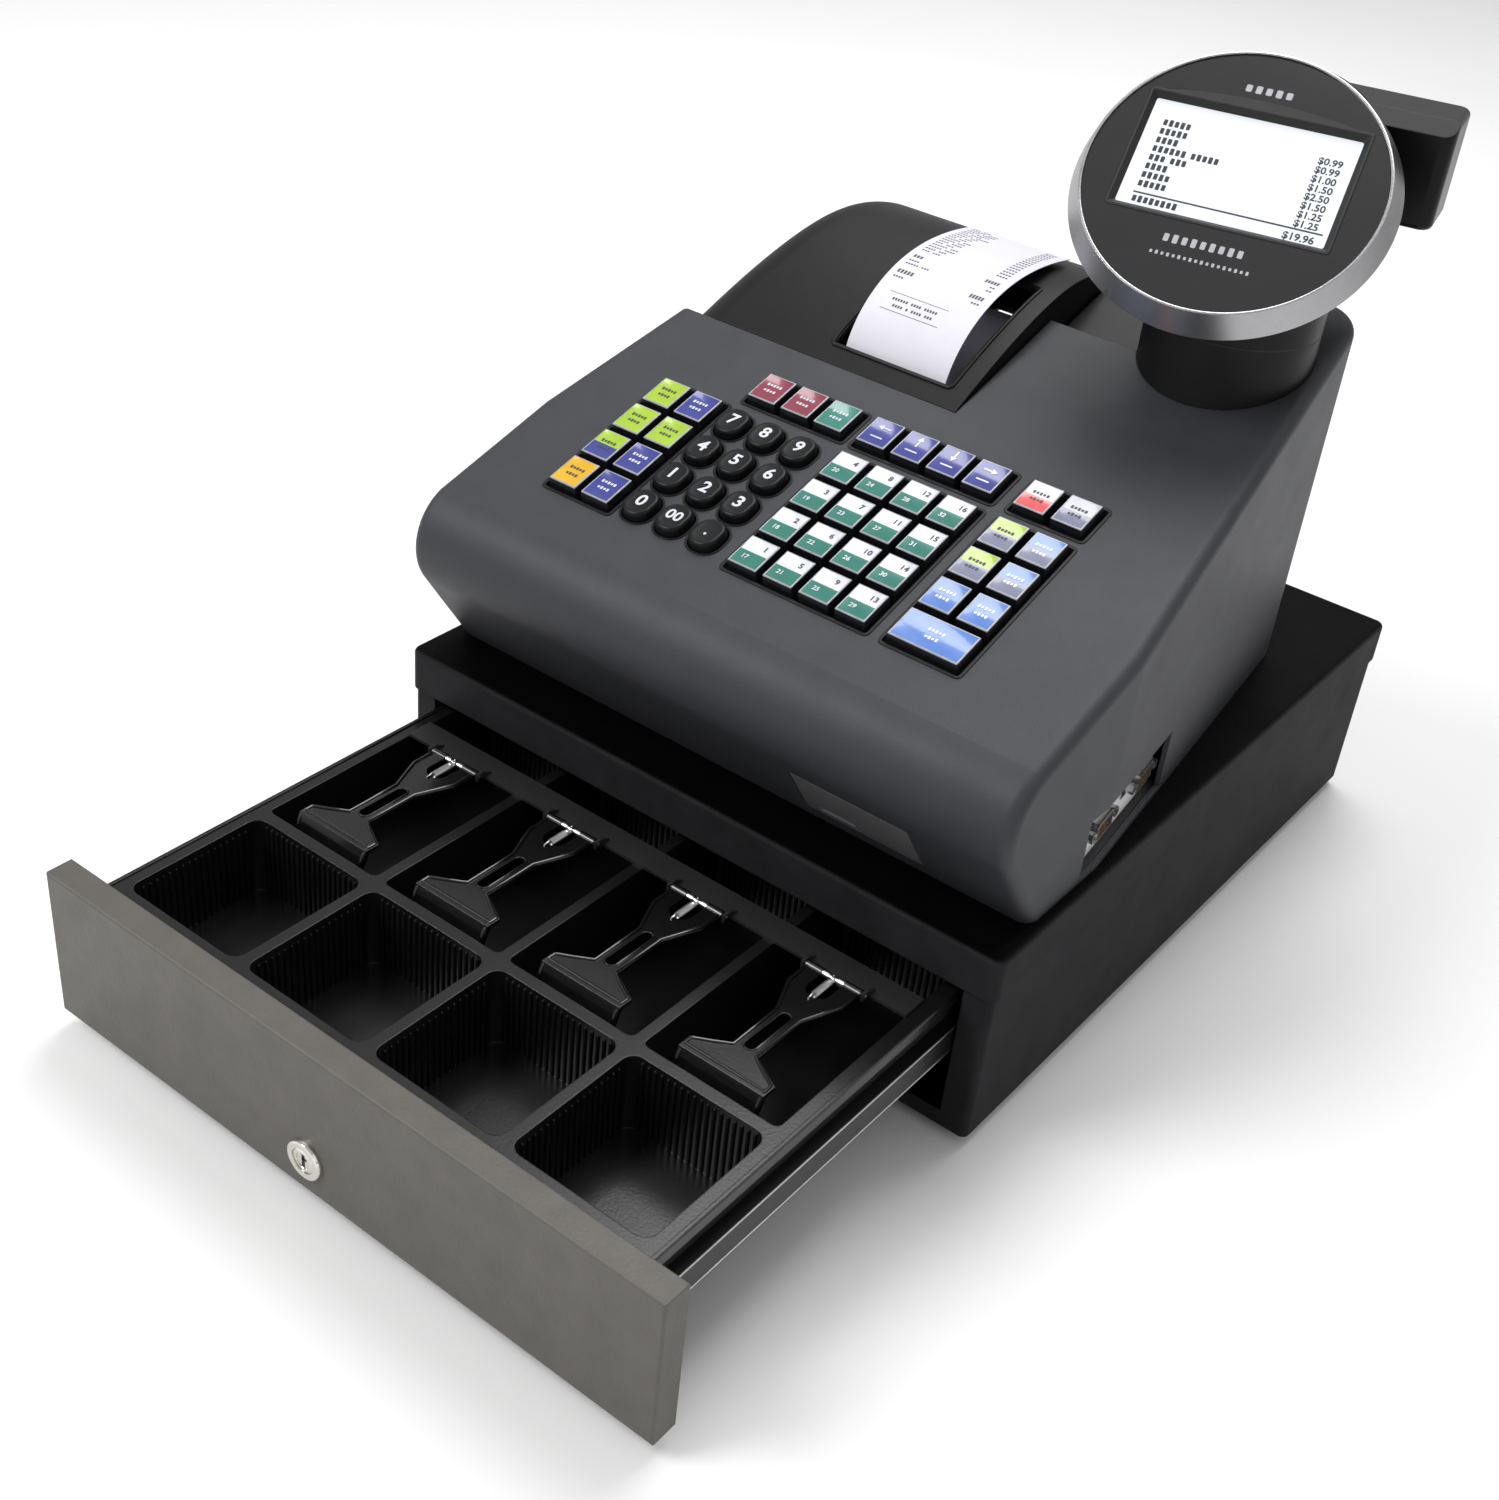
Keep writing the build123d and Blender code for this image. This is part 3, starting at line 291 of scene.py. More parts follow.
def grained(nodes, links, place, normal, grain, grain_size, brushed):
    """A fine bump over the normal: even grain, or stretched by the brushed scales."""
    texture = noise(nodes, grain_size, 3.0)
    if brushed:
        stretch = nodes.new("ShaderNodeMapping")
        stretch.inputs["Scale"].default_value = brushed
        links.new(place, stretch.inputs["Vector"])
        place = stretch.outputs["Vector"]
    links.new(place, texture.inputs["Vector"])
    bump = nodes.new("ShaderNodeBump")
    bump.inputs["Strength"].default_value = grain
    bump.inputs["Distance"].default_value = 0.0004
    links.new(texture.outputs["Fac"], bump.inputs["Height"])
    if normal:
        links.new(normal, bump.inputs["Normal"])
    return bump.outputs["Normal"]


def material(name, colour, rough=0.4, metallic=0.0, coat=0.0, vary=0.12, patch=60.0, grain=0.0,
             grain_size=1500.0, rough_vary=0.12, round_edges=0.0, brushed=None, glow=0.0, spec=0.5, top=1.0):
    """Node material: base colour with soft patches, uneven roughness, and a surface grain in its bump."""
    mat = bpy.data.materials.new(name)
    mat.use_nodes = True
    nodes, links = mat.node_tree.nodes, mat.node_tree.links
    shader = nodes["Principled BSDF"]
    shader.inputs["Metallic"].default_value = metallic
    shader.inputs["Coat Weight"].default_value = coat
    shader.inputs["Coat Roughness"].default_value = 0.08
    shader.inputs["Specular IOR Level"].default_value = spec
    place = nodes.new("ShaderNodeTexCoord").outputs["Object"]
    tone = patchy_tone(nodes, links, place, colour, vary, patch)
    if glow:
        links.new(tone, shader.inputs["Emission Color"])
        shader.inputs["Emission Strength"].default_value = glow
    # A top below 1 paints shade onto upward faces, darkening them by that factor.
    if top != 1.0:
        tone = darker_above(nodes, links, tone, top)
    links.new(tone, shader.inputs["Base Color"])
    roughness = uneven_roughness(nodes, links, place, rough, rough_vary, patch)
    links.new(roughness, shader.inputs["Roughness"])
    normal = None
    if round_edges:
        edge = nodes.new("ShaderNodeBevel")
        edge.samples = 4
        edge.inputs["Radius"].default_value = round_edges
        normal = edge.outputs["Normal"]
    if grain:
        normal = grained(nodes, links, place, normal, grain, grain_size, brushed)
    if normal:
        links.new(normal, shader.inputs["Normal"])
    return mat


M = {
    "housing": material("housing plastic", srgb(54, 55, 59), 0.5, grain=0.30, grain_size=2200, vary=0.06,
                        spec=0.3, round_edges=0.0012),
    "cover": material("cover plastic", srgb(15, 15, 17), 0.42, spec=0.25, grain=0.15, grain_size=2000,
                      round_edges=0.0008),
    "neck": material("neck plastic", srgb(14, 14, 15), 0.42, spec=0.22, grain=0.15, grain_size=2000,
                     round_edges=0.0008),
    # The cabinet's upward faces, the lid's top among them, carry painted shade through top=0.06.
    "cabinet": material("black powder coat", srgb(36, 36, 38), 0.55, grain=0.35, grain_size=900, spec=0.05,
                        vary=0.15, round_edges=0.0012, top=0.06),
    "panel": material("grey powder coat", srgb(82, 79, 74), 0.5, grain=0.5, grain_size=750, vary=0.10,
                      round_edges=0.0010),
    "till": material("till plastic", srgb(17, 17, 18), 0.24, grain=0.10, grain_size=700,
                     round_edges=0.0008),
    "clip": material("clip plastic", srgb(10, 10, 11), 0.18, coat=0.4, grain=0.08, grain_size=500,
                     round_edges=0.0004),
    "rail": material("zinc plate", srgb(178, 178, 180), 0.32, metallic=1.0, brushed=(30, 900, 900),
                     grain=0.2, grain_size=3.0, vary=0.10),
    "rail_black": material("black rail", srgb(24, 24, 25), 0.35, metallic=0.3, grain=0.1, grain_size=900),
    "steel": material("bright steel", srgb(205, 205, 206), 0.20, metallic=1.0, grain=0.08, grain_size=800),
    "chrome": material("lock chrome", srgb(225, 222, 214), 0.10, metallic=1.0, grain=0.03, grain_size=600),
    "dark": material("shadow black", srgb(8, 8, 8), 0.6, grain=0.2, grain_size=900),
    "inner": material("inner plastic", srgb(30, 30, 31), 0.5, grain=0.2, grain_size=1200),
    "rubber": material("rubber", srgb(18, 18, 18), 0.75, grain=0.4, grain_size=1400),
    "board": material("circuit board", srgb(18, 78, 42), 0.35, grain=0.1, grain_size=600, coat=0.3),
    "paper": material("thermal paper", srgb(210, 209, 218), 0.62, vary=0.02, grain=0.12, grain_size=1800,
                      rough_vary=0.05),
    "paper_roll": material("paper roll", srgb(214, 212, 226), 0.8, vary=0.05, grain=0.4, grain_size=3000),
    "print": material("thermal print", srgb(70, 70, 82), 0.7, vary=0.2, patch=900),
    "ring": material("brushed ring", srgb(166, 166, 168), 0.28, metallic=1.0, brushed=(500, 500, 500),
                     grain=0.12, grain_size=4.0, vary=0.06),
    "face": material("display face", srgb(30, 30, 32), 0.16, coat=0.5, grain=0.03, grain_size=900,
                     vary=0.05, round_edges=0.0005),
    "display": material("customer display", srgb(7, 7, 8), 0.3, spec=0.2, grain=0.05, grain_size=900,
                        round_edges=0.0008),
    "lcd": material("lit screen", srgb(198, 201, 208), 0.3, glow=0.38, vary=0.03, patch=18),
    "lcd_ink": material("screen ink", srgb(22, 26, 44), 0.5, vary=0.1),
    "window": material("smoked window", srgb(9, 10, 12), 0.06, coat=0.6, vary=0.05),
    "digits": material("lit digits", srgb(120, 235, 205), 0.4, glow=1.6, vary=0.05),
    "pale": material("pale mark", srgb(164, 164, 168), 0.45, vary=0.05),
    "ink": material("dark legend", srgb(62, 62, 70), 0.5, vary=0.08),
    "key_black": material("number key", srgb(14, 15, 17), 0.38, spec=0.22, grain=0.03, grain_size=900),
    "key_clear": material("clear key rim", srgb(150, 152, 158), 0.14, coat=0.4, vary=0.12, patch=300,
                          grain=0.03, grain_size=700),
    "key_skirt": material("key skirt", srgb(20, 21, 24), 0.2, coat=0.4, vary=0.12, patch=300, grain=0.03,
                          grain_size=700),
    "gold": material("gold contacts", srgb(212, 168, 84), 0.25, metallic=1.0, grain=0.1),
    "insert": material("connector insert", srgb(66, 48, 24), 0.4, grain=0.1),
    # The port plate is pale in its own right; its near-white is pushed up as painted light against the shade
    # of its recess.
    "port": material("port plate painted light", srgb(238, 238, 240), 0.4, vary=0.04, grain=0.15, grain_size=800),
    # The hatch's light grey is painted light: it is the housing's plastic, lightened where it faces down into
    # shade.
    "hatch": material("hatch plastic", srgb(92, 92, 94), 0.5, spec=0.3, vary=0.06, grain=0.3,
                      grain_size=2200, round_edges=0.0008),
}
KEY_COLOURS = {
    "lime": (152, 184, 44), "navy": (50, 56, 134), "yellow": (208, 162, 18), "maroon": (128, 44, 66),
    "teal": (46, 120, 106), "green": (40, 112, 100), "white": (204, 206, 212), "grey": (118, 122, 146),
    "blue": (84, 122, 192), "red": (214, 84, 86), "silver": (162, 162, 172),
}
for label, rgb in KEY_COLOURS.items():
    M[label] = material("key " + label, srgb(*rgb), 0.22, coat=0.6, vary=0.07, patch=160, grain=0.03,
                        grain_size=900)

NODE_MATERIALS = {
    "cabinet": "cabinet_lid cabinet_body", "rubber": "cabinet_feet platen_roller",
    "rail_black": "slide_rails drawer_runners", "panel": "drawer_front", "till": "till",
    "clip": "bill_clip_1 bill_clip_2 bill_clip_3 bill_clip_4",
    "rail": "drawer_latch tear_bar printer_frame cover_hinge_pin",
    "steel": "clip_pins tilt_pin serial_connectors", "chrome": "lock_barrel lock_plug",
    "housing": "upper_housing", "hatch": "front_hatch", "port": "port_plate",
    "neck": "tower_socket tower_neck", "cover": "printer_cover rear_deck head_shell",
    "inner": "base_plate print_head roll_spindle power_supply clip_bar drawer_tray",
    "board": "main_board", "dark": "switch_board", "paper": "receipt_strip", "paper_roll": "paper_roll",
    "ring": "head_ring", "face": "head_face", "lcd": "lcd_panel", "display": "customer_display",
}
for label, names in NODE_MATERIALS.items():
    for node in names.split():
        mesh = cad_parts[node].data
        mesh.materials.clear()
        mesh.materials.append(M[label])


# --- keys ---------------------------------------------------------------------------------
ROW_TOP, ROW_1 = -60.0, -88.0
COL_LEFT, COL_NUM, COL_DEPT, COL_RIGHT = -110.0, -70.6, -6.6, 77.3
KEY_GAP_X, KEY_GAP_Y, KEY_CORNER = 1.6, 2.0, 1.3
KEY_MATS = ["key_clear", "lime", "navy", "yellow", "maroon", "teal", "green", "white", "grey", "blue",
            "red", "silver", "ink", "key_skirt"]
INDEX = {name: i for i, name in enumerate(KEY_MATS)}
RIM, DARK_INK, LIGHT_INK, SKIRT = (INDEX[m] for m in ("key_clear", "ink", "white", "key_skirt"))
# Height above the deck and inset of each step of a cap.
CAP_STEPS = [(-4.8, 0.0), (3.0, 0.8), (3.9, 1.05), (4.3, 1.25), (4.42, 1.55)]
CARD_INSET, CARD_EDGE, CARD_MIDDLE, LEGEND_Z = 1.8, 4.32, 4.22, 4.36
NUMBER_KEY_STEPS = [(-4.8, 0.0), (2.8, 0.4), (4.0, 0.8), (4.5, 1.4), (4.62, 2.0), (4.5, 2.8), (4.4, 4.6)]
DIGIT_Z, DIGIT_DEPTH, DIGIT_SIZE, DOUBLE_DIGIT_SIZE = 4.41, 0.3, 9.6, 8.2
ARROW = [(-3.6, -0.45), (0.6, -0.45), (0.6, -1.7), (3.6, 0), (0.6, 1.7), (0.6, 0.45), (-3.6, 0.45)]


def cap(shape, x, y, width, upper, lower):
    """A clear snap-on cap over a coloured card: skirt, bright rim, and a card in one or two colours."""
    outline = rounded(width - KEY_GAP_X, PITCH_Y - KEY_GAP_Y, KEY_CORNER, x, y, 3)
    rings = [[(px, py, h) for px, py in outline(inset)] for h, inset in CAP_STEPS]
    ids = shape.loft(rings, mats=[SKIRT, SKIRT, RIM, RIM, RIM], caps=(True, False))
    inner = [(px, py, CARD_EDGE) for px, py in outline(CARD_INSET)]
    card = shape.ring(inner)
    shape.bridge(ids[-1], card, RIM)
    # The card's outline is split at mid-depth into two colours.
    half = len(card) // 2
    left = shape.ring([(inner[half - 1][0], y, CARD_MIDDLE)])[0]
    right = shape.ring([(inner[0][0], y, CARD_MIDDLE)])[0]
    shape.face(card[:half] + [left, right], upper)
    shape.face(card[half:] + [right, left], lower)


def arrow_legend(shape, x, y, angle):
    """An arrow at that angle, with a bar below it."""
    c, s = cos(angle), sin(angle)
    placed = [(x + u * c - w * s, y + 3.4 + u * s + w * c) for u, w in ARROW]
    low, high = LEGEND_Z, LEGEND_Z + 0.08
    shape.loft([[(px, py, h) for px, py in placed] for h in (low, high)], LIGHT_INK)
    shape.block(rounded(6.4, 0.8, 0.2, x, y - 3.6, 1), low, high, 0, LIGHT_INK)


def number_legend(shape, x, y, number):
    """Two numbers, one on each half of the card."""
    shape.text(str(number), 4.2, x + 3.4, y + 4.0, LEGEND_Z + 0.04, DARK_INK)
    shape.text(str(number + 16), 3.4, x - 2.2, y - 3.6, LEGEND_Z + 0.04, LIGHT_INK)


def bar_legend(shape, x, y, ink):
    """Two rows of short bars in place of words."""
    for dy, letters in ((2.0, 5), (-2.2, 4)):
        for k in range(letters):
            place = x + 1.7 * (k - (letters - 1) / 2)
            tall = 1.3 + 0.5 * ((k + letters) % 2)
            shape.block(rounded(1.15, tall, 0.2, place, y + dy, 1), LEGEND_Z, LEGEND_Z + 0.06, 0, ink)


def columns(first, count):
    return [first + PITCH_X * i for i in range(count)]


def rows(count):
    return [ROW_1 - PITCH_Y * i for i in range(count)]


def key_block(name, caps, slot, node, width=PITCH_X):
    """A block of caps that rides as one body; each is x, y, two colours, its legend and a value."""
    shape = Shape()
    for x, y, upper, lower, legend, value in caps:
        cap(shape, x, y, width, INDEX[upper], INDEX[lower])
        legend(shape, x, y, value)
    shape.build(name, DECK, [M[m] for m in KEY_MATS], node, slot, [node], angle=40)


def grid(xs, ys):
    """Places row by row from the top left."""
    return [(x, y) for y in ys for x in xs]


left_colours = [("lime", "lime"), ("navy", "navy"), ("lime", "lime"), ("lime", "lime"), ("lime", "navy"),
                ("navy", "navy"), ("yellow", "yellow"), ("navy", "navy")]
left = [(x, y, upper, lower, bar_legend, LIGHT_INK if upper == "navy" else DARK_INK)
        for (x, y), (upper, lower) in zip(grid(columns(COL_LEFT, 2), rows(4)), left_colours)]
key_block("left keys", left, "left_key", "left_keys")

# Department keys are numbered up each column.
department_places = [(x, y) for x in columns(COL_DEPT, 4) for y in reversed(rows(4))]
department = [(x, y, "white", "green", number_legend, k)
              for k, (x, y) in enumerate(department_places, start=1)]
key_block("department keys", department, "department_key", "department_keys")

pay_colours = [("lime", "grey"), ("blue", "grey"), ("lime", "grey"), ("blue", "grey"), ("blue", "blue"),
               ("blue", "blue")]
payment = [(x, y, upper, lower, bar_legend, LIGHT_INK if upper == "blue" else DARK_INK)
           for (x, y), (upper, lower) in zip(grid(columns(COL_RIGHT, 2), rows(3)), pay_colours)]
key_block("payment keys", payment, "payment_key", "payment_keys")

top_row = [(x, ROW_TOP, colour, colour, bar_legend, LIGHT_INK)
           for x, colour in zip(columns(COL_NUM + 2, 3), ("maroon", "maroon", "teal"))]
top_row += [(x, ROW_TOP, "navy", "navy", arrow_legend, angle)
            for x, angle in zip(columns(COL_DEPT, 4), (pi, pi / 2, -pi / 2, 0))]
top_row.append((COL_RIGHT, ROW_TOP, "white", "red", bar_legend, DARK_INK))
top_row.append((COL_RIGHT + PITCH_X, ROW_TOP, "silver", "grey", bar_legend, DARK_INK))
key_block("top row keys", top_row, "top_row_key", "top_row_keys")
key_block("total key", [(COL_RIGHT + PITCH_X / 2, rows(4)[3], "blue", "blue", bar_legend, LIGHT_INK)],
          "payment_key", "total_key", 2 * PITCH_X)

number_names = ["7", "8", "9", "4", "5", "6", "1", "2", "3", "0", "00", "point"]
for number, (x, y) in zip(number_names, grid(columns(COL_NUM, 3), rows(4))):
    node = "key_" + number
    outline = rounded(15.4, 18.4, 7.0, x, y, 8)
    shape = Shape()
    shape.loft([[(px, py, h) for px, py in outline(inset)] for h, inset in NUMBER_KEY_STEPS])
    shape.build("cap " + number, DECK, M["key_black"], node, "number_key", [node], angle=60)
    mark = Shape()
    size = DOUBLE_DIGIT_SIZE if number in ("00", "point") else DIGIT_SIZE
    mark.text("." if number == "point" else number, size, x, y + 0.4, DIGIT_Z, 0, DIGIT_DEPTH)
    mark.build("digit " + number, DECK, M["white"], node, "number_key")

# --- trim on the housing ------------------------------------------------------------------
# Thin black lips that lie on the deck round the key wells.
wells = [(columns(COL_LEFT, 2), rows(4)), (columns(COL_DEPT, 4), rows(4)), (columns(COL_RIGHT, 2), rows(4)),
         (columns(COL_NUM + 2, 3), [ROW_TOP]), (columns(COL_DEPT, 4), [ROW_TOP]),
         (columns(COL_RIGHT, 2), [ROW_TOP])]
WELL_MARGIN, LIP_LOW = 0.1, 0.02
well_lips = Shape()
for xs, ys in wells:
    w, d = xs[-1] - xs[0] + PITCH_X + WELL_MARGIN, ys[0] - ys[-1] + PITCH_Y + WELL_MARGIN
    outline = rounded(w, d, 1.1, (xs[0] + xs[-1]) / 2, (ys[0] + ys[-1]) / 2, 3)
    frame_band(well_lips, outline, 1.5, LIP_LOW, 0.42)
for x, y in grid(columns(COL_NUM, 3), rows(4)):
    frame_band(well_lips, rounded(16.4, 19.4, 7.4, x, y, 8), 1.0, LIP_LOW, 0.4)
well_lips.build("key well lips", DECK, M["cover"], "cabinet", "inner_plastic")

# Connector inserts, and their contacts in rows of five and four.
PIN_PITCH = 2.7
insert, contacts = Shape(), Shape()
for centre in PORT_CENTRES:
    insert.block(rounded(16.2, 7.0, 1.4, centre, PORT_Z, 3), 0.85, 3.4, 0.3)
    for count, z in ((5, PORT_Z + 1.4), (4, PORT_Z - 1.4)):
        for k in range(count):
            x = centre + PIN_PITCH * (k - (count - 1) / 2)
            contacts.tube([(x, z, 3.3), (x, z, 4.3), (x, z, 4.6)], 0.5, 6)
insert.build("connector inserts", PORT, M["insert"], "cabinet", "inner_plastic")
contacts.build("connector contacts", PORT, M["gold"], "cabinet", "zinc_steel")

# --- printer ------------------------------------------------------------------------------
_trees = {}


def drop(node, x, y):
    """Height of a CAD node's top at x, y, all in drawing millimetres."""
    if node not in _trees:
        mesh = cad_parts[node].data
        _trees[node] = BVHTree.FromPolygons([v.co.copy() for v in mesh.vertices],
                                            [tuple(p.vertices) for p in mesh.polygons])
    start = ROW @ Vector((x, y, 600.0))
    hit = _trees[node].ray_cast(start, -UP)[0]
    return (ROW.inverted() @ hit).z


def spaced(start, end, steps):
    """Evenly spaced values from start to end."""
    return [start + (end - start) * k / (steps - 1) for k in range(steps)]


RIM_OUT, LONG_STEPS, SHORT_STEPS = 1.4, 15, 7
rim = Shape()
path = [(WINDOW_LEFT - RIM_OUT, y) for y in spaced(WINDOW_FRONT, WINDOW_BACK, LONG_STEPS)]
path += [(x, WINDOW_BACK + RIM_OUT) for x in spaced(WINDOW_LEFT, WINDOW_RIGHT, SHORT_STEPS)]
path += [(WINDOW_RIGHT + RIM_OUT, y) for y in spaced(WINDOW_BACK, WINDOW_FRONT, LONG_STEPS)]
path += [(x, WINDOW_FRONT - RIM_OUT) for x in spaced(WINDOW_RIGHT, WINDOW_LEFT, SHORT_STEPS)]
rim.tube([(x, y, drop("printer_cover", x, y) + 0.1) for x, y in path], 0.9, 8, closed=True)
rim.build("paper window rim", ROW, M["cover"], "cover", "cover_plastic")

TOOTH_COUNT, TOOTH_PITCH, TOOTH_LOW, TOOTH_TIP = 38, 1.5, 241.4, 244.2
teeth = Shape()
for k in range(TOOTH_COUNT):
    x = -61.0 + k * TOOTH_PITCH
    base = [(x, -13.9), (x + 1.3, -13.9), (x + 1.3, -13.1), (x, -13.1)]
    tip = [(x + 0.6, -13.8), (x + 0.7, -13.8), (x + 0.7, -13.7), (x + 0.6, -13.7)]
    teeth.loft([[(px, py, h) for px, py in outline] for outline, h in ((base, TOOTH_LOW), (tip, TOOTH_TIP))])
teeth.build("tear bar teeth", ROW, M["steel"], "cover", "zinc_steel")

# Printing on the receipt: rows of short dashes laid on the strip's upper face. Its heights are read
# off the CAD from front to back, and a row's place is its distance along the paper.
samples = [(y, drop("receipt_strip", PAPER_MIDDLE, y)) for y in [-3 + 0.5 * k for k in range(188)]]
lengths = [0.0]
for a, b in zip(samples, samples[1:]):
    lengths.append(lengths[-1] + hypot(b[0] - a[0], b[1] - a[1]))


def on_receipt(s):
    """Depth, height and slope at a distance along the strip."""
    k = min(max(i for i, v in enumerate(lengths) if v <= s), len(samples) - 2)
    (ay, az), (by, bz) = samples[k], samples[k + 1]
    u = (s - lengths[k]) / max(lengths[k + 1] - lengths[k], 1e-6)
    return ay + (by - ay) * u, az + (bz - az) * u, atan2(bz - az, by - ay)


def dash(shape, x, s, w, d):
    """A printed mark w wide and d deep, with its left edge at x."""
    y, z, a = on_receipt(s)
    dy, dz = cos(a) * d / 2, sin(a) * d / 2
    rings = []
    for lift in (0.01, 0.05):
        my, mz = y - sin(a) * lift, z + cos(a) * lift
        rings.append([(x, my - dy, mz - dz), (x + w, my - dy, mz - dz),
                      (x + w, my + dy, mz + dz), (x, my + dy, mz + dz)])
    shape.loft(rings)


PRINT_LEFT, FIGURES_RIGHT = -58.0, -10.5


def printed_row(shape, s, words, figures, tall, x=PRINT_LEFT):
    """A row of greeked words from x, and figures against the right edge."""
    bold = tall > 2
    for letters in words:
        for _ in range(letters):
            dash(shape, x, s, 1.25 if bold else 1.0, tall)
            x += 1.85 if bold else 1.5
        x += 1.6
    for k in range(figures):
        dash(shape, FIGURES_RIGHT - 1.6 * k, s, 1.1, tall)


# Place along the paper, letters in each word, figures, height, and left edge.
HEADED_ROWS = [(9.5, (4, 1, 4, 3), 0, 1.4, -48.0), (13.0, (6, 4, 5), 0, 1.4, -50.0),
               (25.5, (4,), 3, 1.1, PRINT_LEFT), (29.5, (5,), 5, 2.6, PRINT_LEFT),
               (36.0, (5, 3), 2, 1.1, PRINT_LEFT), (39.0, (4,), 2, 1.1, PRINT_LEFT),
               (43.0, (3,), 5, 2.4, PRINT_LEFT)]
ITEMS_START, ITEM_PITCH = 50.0, 2.9
printing = Shape()
for row in HEADED_ROWS:
    printed_row(printing, *row)
for s in (6.5, 16.5):
    dash(printing, -53.5, s, 33.0, 0.3)
seed, s = 7, ITEMS_START
while s < lengths[-1] - 3:
    seed = (seed * 1103515245 + 12345) % 2 ** 31
    printed_row(printing, s, (3 + seed % 4, 3 + seed % 3), 4, 1.2)
    s += ITEM_PITCH
printing.build("receipt printing", ROW, M["print"], "cover", "paper")

# --- display tower ------------------------------------------------------------------------
# Heights are from the head's face plane.
FACE_Z, SCREEN_Z, SCREEN_MIDDLE = -0.79, -2.98, 6.5
bezel = Shape()
outer, inner = rounded(100, 62.5, 2.0, 0, SCREEN_MIDDLE), rounded(92.5, 54.5, 1.0, 0, SCREEN_MIDDLE)
steps = [(outer(0), -0.78), (outer(0.4), -0.35), (outer(1.3), -0.35), (inner(0), -2.9)]
bezel.loft([[(x, y, h) for x, y in outline] for outline, h in steps], caps=(False, False))
arch = [(-48.5 + 97 * k / 24, 36.5 + 5.2 * (1 - ((k - 12) / 12) ** 2)) for k in range(25)]
arch += [(48.5, 36.0), (-48.5, 36.0)]
bezel.loft([[(x, y, h) for x, y in arch] for h in (FACE_Z, -0.5)])
bezel.build("screen bezel", HEAD, M["dark"], "head", "face_plastic")

NAMES_LEFT, PRICES_X, TOTAL_X, LIST_TOP, LIST_PITCH = -38.5, 35.8, 34.6, 22.5, 4.6
LETTER_PITCH, WORD_GAP, PRICE_SIZE, TOTAL_SIZE = 2.6, 1.8, 4.8, 5.0
screen = Shape()


def word_bars(x, y, letters):
    """Greeked letters: upright blocks of two heights."""
    for k in range(letters):
        outline = rounded(1.75, 3.0 + 0.4 * (k % 2), 0.25, x + LETTER_PITCH * k, y, 1)
        screen.block(outline, SCREEN_Z, SCREEN_Z + 0.06)
    return x + LETTER_PITCH * letters + WORD_GAP


names = [(5,), (5,), (4,), (6, 5), (3, 3), (4,), (5,), (5,)]
prices = ["0.99", "0.99", "1.00", "1.50", "2.50", "1.50", "1.25", "1.25"]
for k, (words, price) in enumerate(zip(names, prices)):
    x, y = NAMES_LEFT, LIST_TOP - LIST_PITCH * k
    for letters in words:
        x = word_bars(x, y, letters)
    screen.text("$" + price, PRICE_SIZE, PRICES_X, y - 2.0, SCREEN_Z + 0.04)
screen.block(rounded(84, 0.8, 0.1, 2, -14.4, 1), SCREEN_Z, SCREEN_Z + 0.06)
screen.text("$19.96", TOTAL_SIZE, TOTAL_X, -18.4, SCREEN_Z + 0.04)
word_bars(NAMES_LEFT, -17.6, 8)
screen.build("screen figures", HEAD, M["lcd_ink"], "head", "lcd")

# Plain bars where the face carries lettering: count, width, height, how much taller every other one
# is, corner, first place, pitch, and height on the face.
MARK_ROWS = [(5, 2.7, 3.6, 0.4, 0.6, -9, 4.5, 46.8), (9, 2.3, 3.8, 0.5, 0.5, -18, 4.1, -34.0),
             (18, 1.2, 1.5, 0.4, 0.3, -22, 2.5, -42.0)]
marks = Shape()
for count, w, d, taller, corner, first, pitch, y in MARK_ROWS:
    for k in range(count):
        marks.block(rounded(w, d + taller * (k % 2), corner, first + pitch * k, y, 2), FACE_Z, -0.7)
marks.build("face marks", HEAD, M["pale"], "head", "face_plastic")

polish = Shape()
polish.lathe([(65.15, -0.75), (65.3, 0.1), (65.7, 0.2), (66.2, 0.1), (66.45, -0.6), (66.2, -0.9)], 128)
polish.build("ring lip", HEAD, M["steel"], "head", "ring_steel", angle=50)

pane = Shape()
pane.block(rounded(73.4, 29.4, 2.7), -1.95, -0.7, 0.3)
pane.build("customer window", POD, M["window"], "neck", "display_black")
DIGIT_PITCH = 12
digits = Shape()
for k, character in enumerate("19.96"):
    digits.text(character, 15, DIGIT_PITCH * (k - 2), 0, -0.66)
digits.build("customer figures", POD, M["digits"], "neck", "display_black")

# Shadow line where the turning neck meets its socket.
SEAM_LOW, SEAM_HIGH = 286.8, 287.6
seam_in, seam_out = TOWER_R - 0.2, TOWER_R + 0.06
neck = Shape()
neck.lathe([(seam_in, SEAM_LOW), (seam_out, SEAM_LOW), (seam_out, SEAM_HIGH), (seam_in, SEAM_HIGH)], 96)
neck.build("neck seam ring", NECK, M["dark"], "neck", "cover_plastic")

# --- drawer and cabinet -------------------------------------------------------------------
lock = Shape()
lock.lathe([(9.4, 0.0), (9.5, 0.9), (9.0, 1.9), (7.9, 2.15), (7.0, 1.9), (6.2, 1.85), (6.2, 0.0)], 64)
lock.build("lock escutcheon", FRONT, M["chrome"], "drawer", "lock_chrome", angle=50)
plug = Shape()
plug.lathe([(5.9, 1.62), (5.6, 1.95), (3.9, 2.0), (3.7, 1.7), (3.7, 1.62)], 48)
plug.build("lock plug ring", FRONT, M["chrome"], "lock", "lock_chrome", angle=50)
